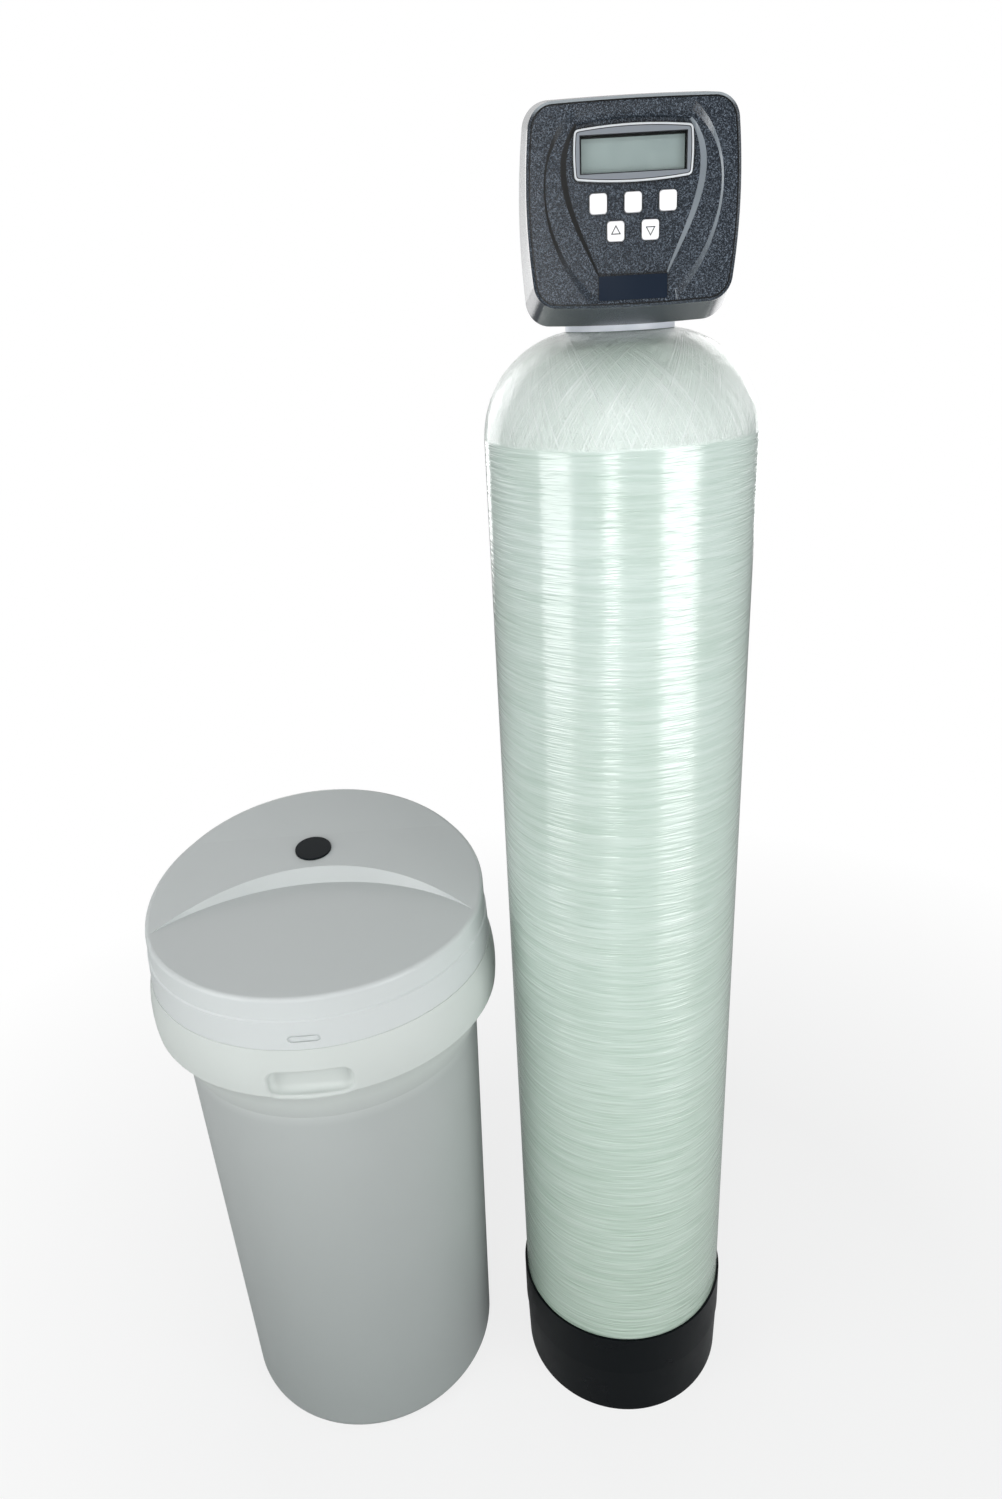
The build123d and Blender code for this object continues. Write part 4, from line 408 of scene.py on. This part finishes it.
def charcoal_texture():
    """Charcoal ABS: near black, glinting at the flanks of its grit, with pale flecks painted in as
    glints.

    It is smooth on the bevels, with painted shade in the creases, painted highlights on the right-hand
    bevels and the top edge, and painted shade on the left-hand bevels.
    """
    material, tree = new_material("charcoal_textured_abs")
    place = add(tree, "ShaderNodeTexCoord").outputs["Object"]
    grit = add(tree, "ShaderNodeTexNoise", {"Vector": place, "Scale": 1000.0 / grit_mm, "Detail": 2.0,
                                            "Roughness": 0.7})
    # Painted glints: pale flecks in the colour stand in for the grit's sparkle.
    flecks = add(tree, "ShaderNodeTexNoise", {"Vector": place, "Scale": 1000.0 / grit_mm, "Detail": 2.0,
                                              "Roughness": 0.8})
    bright = add(tree, "ShaderNodeMapRange", {"Value": flecks, "From Min": 0.50, "From Max": 0.70})
    painted_glint_speckle = add(tree, "ShaderNodeMix", {0: bright, 6: linear("#161e27"), 7: linear("#737e8b")},
                   data_type="RGBA")
    # Painted shade: an occlusion test darkens the creases to near black.
    crease = add(tree, "ShaderNodeAmbientOcclusion", {"Distance": 0.003}, samples=8)
    open_share = add(tree, "ShaderNodeMapRange", {"Value": crease.outputs["AO"], "From Min": 0.55,
                                                  "From Max": 0.95})
    tone = add(tree, "ShaderNodeMix", {0: open_share, 6: linear("#020304"), 7: painted_glint_speckle.outputs[2]},
               data_type="RGBA")

    normal = add(tree, "ShaderNodeNewGeometry").outputs["True Normal"]
    facing = add(tree, "ShaderNodeSeparateXYZ", {0: normal})
    aside = add(tree, "ShaderNodeMath", {0: facing.outputs["X"]}, operation="ABSOLUTE")
    bevel = add(tree, "ShaderNodeMapRange", {"Value": aside, "From Min": 0.10, "From Max": 0.20})
    spot = add(tree, "ShaderNodeSeparateXYZ", {0: place})
    in_face = add(tree, "ShaderNodeMapRange", {"Value": spot.outputs["Y"], "From Min": face_back,
                                               "From Max": face_front})
    # Painted highlights on the right-hand bevels and the top edge, and painted shade on the left-hand
    # bevels.
    for way, low, high, side, colour in painted_edge_light_and_shade:
        turned = add(tree, "ShaderNodeMapRange", {"Value": facing.outputs[way], "From Min": low,
                                                  "From Max": high})
        here = add(tree, "ShaderNodeMath", {0: turned, 1: in_face}, operation="MULTIPLY")
        if side:
            beside = add(tree, "ShaderNodeMapRange", {"Value": spot.outputs["X"], "From Min": 0.0,
                                                      "From Max": side})
            here = add(tree, "ShaderNodeMath", {0: here, 1: beside}, operation="MULTIPLY")
        tone = add(tree, "ShaderNodeMix", {0: here, 6: tone.outputs[2], 7: linear(colour)},
                   data_type="RGBA")

    # The left-hand bevels, painted black as shade and the last of the edges, are also the dullest.
    smooth = add(tree, "ShaderNodeMapRange", {"Value": bevel, "To Min": 0.27, "To Max": 0.20})
    rough = add(tree, "ShaderNodeMapRange", {"Value": here, "To Min": smooth, "To Max": 0.70})
    grain = add(tree, "ShaderNodeMapRange", {"Value": bevel, "To Min": 0.7, "To Max": 0.05})
    bump = add(tree, "ShaderNodeBump", {"Height": grit, "Strength": grain, "Distance": 0.00016})
    shader = add(tree, "ShaderNodeBsdfPrincipled", {"Base Color": tone.outputs[2], "Roughness": rough,
                                                    "IOR": 1.53, "Normal": bump})
    add(tree, "ShaderNodeOutputMaterial", {"Surface": shader})
    return material


dress(charcoal_texture(), "front_cover")
# The bare plate is polished ABS: dark blue-grey, even and glossy beside the textured cover.
plate_gloss = moulded("dark_bare_plate", "#172231", 0.20, grain_mm=0.8, grain_depth=0.006)
dress(plate_gloss, "blank_plate")


# The display: a grey-green liquid crystal cell in a black frame, behind a clear window in a
# silver-grey bezel. Middles and half sizes are in metres, across and up.
# The cell sits 0.7 mm below the bezel's middle, so its black frame is widest at the top: that band is
# painted shadow under the bezel.
display_middle = (0.0, 1.4397)
cell_half = (0.0393, 0.0117)


def crystal_cell():
    """A liquid crystal cell at rest: grey with a faint green, blurred, in a black frame, which is widest
    at the top as painted shadow.
    """
    material, tree = new_material("liquid_crystal_cell")
    place = add(tree, "ShaderNodeTexCoord").outputs["Object"]
    parts = add(tree, "ShaderNodeSeparateXYZ", {0: place})
    inside = []
    for socket, middle, half in (("X", display_middle[0], cell_half[0]),
                                 ("Z", display_middle[1], cell_half[1])):
        off = add(tree, "ShaderNodeMath", {0: parts.outputs[socket], 1: middle}, operation="SUBTRACT")
        away = add(tree, "ShaderNodeMath", {0: off}, operation="ABSOLUTE")
        inside.append(add(tree, "ShaderNodeMath", {0: away, 1: half}, operation="LESS_THAN"))
    both = add(tree, "ShaderNodeMath", {0: inside[0], 1: inside[1]}, operation="MULTIPLY")
    haze = add(tree, "ShaderNodeTexNoise", {"Vector": place, "Scale": 1000.0 / 25.0, "Detail": 2.0})
    glass = add(tree, "ShaderNodeMix", {0: haze, 6: linear("#8f999b"), 7: linear("#a9b2b3")},
                data_type="RGBA")
    tone = add(tree, "ShaderNodeMix", {0: both, 6: linear("#08090a"), 7: glass.outputs[2]},
               data_type="RGBA")
    shader = add(tree, "ShaderNodeBsdfPrincipled", {"Base Color": tone.outputs[2], "Roughness": 0.30,
                                                    "IOR": 1.5})
    add(tree, "ShaderNodeOutputMaterial", {"Surface": shader})
    return material


def clear_window():
    """Clear polycarbonate: looks through itself, with a thin reflection."""
    material, tree = new_material("clear_polycarbonate")
    through = add(tree, "ShaderNodeBsdfTransparent", {"Color": (0.96, 0.98, 0.97, 1.0)})
    shine = add(tree, "ShaderNodeBsdfPrincipled", {"Base Color": linear("#dfe5e2"), "Roughness": 0.08,
                                                   "IOR": 1.58, "Alpha": 0.10})
    glance = add(tree, "ShaderNodeFresnel", {"IOR": 1.3})
    mixed = add(tree, "ShaderNodeMixShader", {0: glance, 1: through, 2: shine})
    add(tree, "ShaderNodeOutputMaterial", {"Surface": mixed})
    return material


dress(crystal_cell(), "lcd_display")
dress(clear_window(), "display_window")

# The bezel's outline bulges at its sides and arches at its top and foot. Its bands are told by the way in
# from that outline, and reach 5 mm: a painted highlight on the rim, a dark line of painted shade and the
# frame.
bezel_level = 1.4404
bezel_half = (0.0446, 0.0167)
bezel_hole = (0.0402, 0.0125)
bezel_bulge = 0.0010
bezel_arch = 0.0027
band_reach = 0.005
# The rim's silver and its brighter band are a painted highlight, and the dark bands and the black inner
# edge are painted shade; the frame's grey is the paint's own.
rim_highlight, frame_grey, inner_edge_shade = "#c9ced2", "#82888f", "#0b0c0e"
bezel_light_and_shade_bands = ((0.24, "#dfe3e6"), (0.29, "#15181b"), (0.36, "#1b1e21"), (0.42, frame_grey))


def banded_bezel():
    """ABS painted silver: satin frame, a painted highlight on the round rim, and painted shade in the
    parting line and black along the inner edge.
    """
    material, tree = new_material("silver_painted_abs")
    place = add(tree, "ShaderNodeTexCoord").outputs["Object"]
    parts = add(tree, "ShaderNodeSeparateXYZ", {0: place})
    across = add(tree, "ShaderNodeMath", {0: parts.outputs["X"]}, operation="ABSOLUTE")
    level = add(tree, "ShaderNodeMath", {0: parts.outputs["Z"], 1: bezel_level}, operation="SUBTRACT")
    up = add(tree, "ShaderNodeMath", {0: level}, operation="ABSOLUTE")
    edges = []
    for along, other, half, other_half, swell in (
            (across, up, bezel_half[0], bezel_half[1], bezel_bulge),
            (up, across, bezel_half[1], bezel_half[0], bezel_arch)):
        share = add(tree, "ShaderNodeMath", {0: other, 1: other_half}, operation="DIVIDE")
        square = add(tree, "ShaderNodeMath", {0: share, 1: share}, operation="MULTIPLY")
        edge = add(tree, "ShaderNodeMath", {0: square, 1: -swell, 2: half + swell},
                   operation="MULTIPLY_ADD")
        edges.append(add(tree, "ShaderNodeMath", {0: edge, 1: along}, operation="SUBTRACT"))
    inwards = add(tree, "ShaderNodeMath", {0: edges[0], 1: edges[1], 2: 0.003}, operation="SMOOTH_MIN")
    holes = [add(tree, "ShaderNodeMath", {0: along, 1: half}, operation="SUBTRACT")
             for along, half in ((across, bezel_hole[0]), (up, bezel_hole[1]))]
    outwards = add(tree, "ShaderNodeMath", {0: holes[0], 1: holes[1]}, operation="MAXIMUM")
    bands = add(tree, "ShaderNodeValToRGB", {0: add(tree, "ShaderNodeMath", {0: inwards,
                                                                             1: 1.0 / band_reach},
                                                    operation="MULTIPLY")})
    ramp = bands.color_ramp
    ramp.elements[0].position, ramp.elements[0].color = 0.0, linear(rim_highlight)
    ramp.elements[1].position, ramp.elements[1].color = 1.0, linear(frame_grey)
    for position, colour in bezel_light_and_shade_bands:
        ramp.elements.new(position).color = linear(colour)
    rim = add(tree, "ShaderNodeMapRange", {"Value": outwards, "From Min": 0.0004, "From Max": 0.0008})
    tone = add(tree, "ShaderNodeMix", {0: rim, 6: linear(inner_edge_shade), 7: bands.outputs[0]},
               data_type="RGBA")
    dish = add(tree, "ShaderNodeMapRange", {"Value": inwards, "From Min": 0.0, "From Max": 0.0013})
    bump = add(tree, "ShaderNodeBump", {"Height": dish, "Strength": 0.8, "Distance": 0.0006})
    shader = add(tree, "ShaderNodeBsdfPrincipled", {"Base Color": tone.outputs[2], "Roughness": 0.30,
                                                    "IOR": 1.5, "Normal": bump})
    add(tree, "ShaderNodeOutputMaterial", {"Surface": shader})
    return material


dress(banded_bezel(), "display_bezel")


# The keys: silicone rubber caps that stand through the panel. The lower two carry a thin
# printed triangle, one up and one down. The rubber is a dead white with a soft, dull skin.
key_rubber = moulded("white_silicone_rubber", "#fbfbfd", 0.45, grain_mm=0.5, grain_depth=0.004,
                     shade=0.01)
dress(key_rubber, "left_key", "middle_key", "right_key", "up_key", "down_key")

# The print is a matt black ink of 0.08 mm, so that it stands clear of the key's face.
key_front = -0.1131
lower_key_level = 1.3876
lower_key_side = 0.01345
arrow_radius = 0.0045
arrow_line = 0.0007
ink_thickness = 0.00008
arrow_print = moulded("black_key_print", "#1a1a1d", 0.5, grain_mm=0.4, grain_depth=0.002)


def arrow_outline(name, x, turn, body):
    """A triangle's outline, a thin print on the key's face, with one corner up or down."""
    bpy.ops.object.select_all(action="DESELECT")
    bpy.ops.mesh.primitive_circle_add(vertices=3, radius=arrow_radius, fill_type="NGON",
                                      location=(x, key_front, lower_key_level),
                                      rotation=(math.pi / 2, turn, 0.0))
    piece = bpy.context.object
    piece.name = name
    bpy.ops.object.mode_set(mode="EDIT")
    bpy.ops.mesh.select_all(action="SELECT")
    bpy.ops.mesh.inset(thickness=arrow_line, depth=0.0)
    bpy.ops.mesh.delete(type="FACE")
    bpy.ops.mesh.select_all(action="SELECT")
    bpy.ops.mesh.extrude_region_move(TRANSFORM_OT_translate={"value": (0.0, -ink_thickness, 0.0)})
    bpy.ops.mesh.select_all(action="SELECT")
    bpy.ops.mesh.normals_make_consistent(inside=False)
    bpy.ops.object.mode_set(mode="OBJECT")
    bpy.ops.object.transform_apply(location=True, rotation=True, scale=True)
    piece.data.materials.append(arrow_print)
    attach(piece, body)


arrow_outline("up_arrow", -lower_key_side, 0.0, "up_key")
arrow_outline("down_arrow", lower_key_side, math.pi, "down_key")


# The brine tank: a round tub of natural grey polyethylene, rotary moulded in one piece with
# its thick collar and two hand recesses, so every edge is soft. It stands loose on the floor.
wall_foot, wall_top = 0.05, 0.50
collar_foot, collar_middle = 0.53, 0.57


def tank_wall():
    """Natural grey polyethylene: matt and pebbled, darker towards the foot as painted shade, and paler in
    the collar than below it as painted light.
    """
    material, tree = new_material("light_grey_polyethylene")
    place = add(tree, "ShaderNodeTexCoord").outputs["Object"]
    height = add(tree, "ShaderNodeSeparateXYZ", {0: place}).outputs["Z"]
    clouds = add(tree, "ShaderNodeTexNoise", {"Vector": place, "Scale": 1000.0 / 120.0, "Detail": 4.0})
    grain = add(tree, "ShaderNodeTexNoise", {"Vector": place, "Scale": 1000.0 / 2.2, "Detail": 2.0})
    # Painted shade: the wall is darker towards its foot.
    painted_foot_shade = add(tree, "ShaderNodeMapRange", {"Value": height, "From Min": wall_foot,
                                            "From Max": wall_top})
    body = add(tree, "ShaderNodeMix", {0: painted_foot_shade, 6: linear("#9ba1a0"), 7: linear("#a9aead")},
               data_type="RGBA")
    # Painted light: the collar, which faces a little down, is paler.
    collar_light = add(tree, "ShaderNodeMapRange", {"Value": height, "From Min": collar_foot,
                                             "From Max": collar_middle})
    tone = add(tree, "ShaderNodeMix", {0: collar_light, 6: body.outputs[2], 7: linear("#c5cbc8")},
               data_type="RGBA")
    cloudy = add(tree, "ShaderNodeMix", {0: clouds, 6: (0.97, 0.97, 0.97, 1.0),
                                         7: (1.03, 1.03, 1.03, 1.0)}, data_type="RGBA")
    tone = add(tree, "ShaderNodeMix", {0: 1.0, 6: tone.outputs[2], 7: cloudy.outputs[2]},
               data_type="RGBA", blend_type="MULTIPLY")
    rough = add(tree, "ShaderNodeMapRange", {"Value": clouds, "From Min": 0.3, "From Max": 0.7,
                                             "To Min": 0.45, "To Max": 0.55})
    bump = add(tree, "ShaderNodeBump", {"Height": grain, "Strength": 0.6, "Distance": 0.00004})
    shader = add(tree, "ShaderNodeBsdfPrincipled", {"Base Color": tone.outputs[2], "Roughness": rough,
                                                    "IOR": 1.5, "Normal": bump})
    add(tree, "ShaderNodeOutputMaterial", {"Surface": shader})
    return material


dress(tank_wall(), "brine_tank")


# Its lid: the same plastic a shade lighter and smoother, set loose over the tank's collar,
# with a black polypropylene plug pressed into the hole at the back of the riser.
lid_plastic = moulded("light_grey_lid_polyethylene", "#c8cdcd", 0.42, grain_mm=1.4, grain_depth=0.02,
                      shade=0.03, patch_mm=120.0)
dress(lid_plastic, "brine_lid")
# Dyed polypropylene: black with a cool cast and hardly a shine.
plug_plastic = moulded("black_polypropylene", "#0b1216", 0.40, grain_mm=0.8, shine=0.12)
dress(plug_plastic, "lid_plug")


# In the tank: a PVC well with its cap, the salt grid, and the float valve with its rod,
# float and pick-up tube. The elbows through the wall are acetal, held by nuts.
dress(pvc, "brine_well", "well_cap", "float_rod", "pickup_tube")
dress(acetal, "brine_valve", "tank_elbow", "overflow_elbow", "wall_nuts")
# The grid is a plain mid grey, and the float's foamed skin is off-white and pitted.
grid_plastic = moulded("grey_polypropylene", "#55585a", 0.48)
dress(grid_plastic, "salt_grid")
foam_plastic = moulded("white_foamed_plastic", "#dcdcd4", 0.6, grain_mm=1.8, grain_depth=0.15)
dress(foam_plastic, "brine_float")
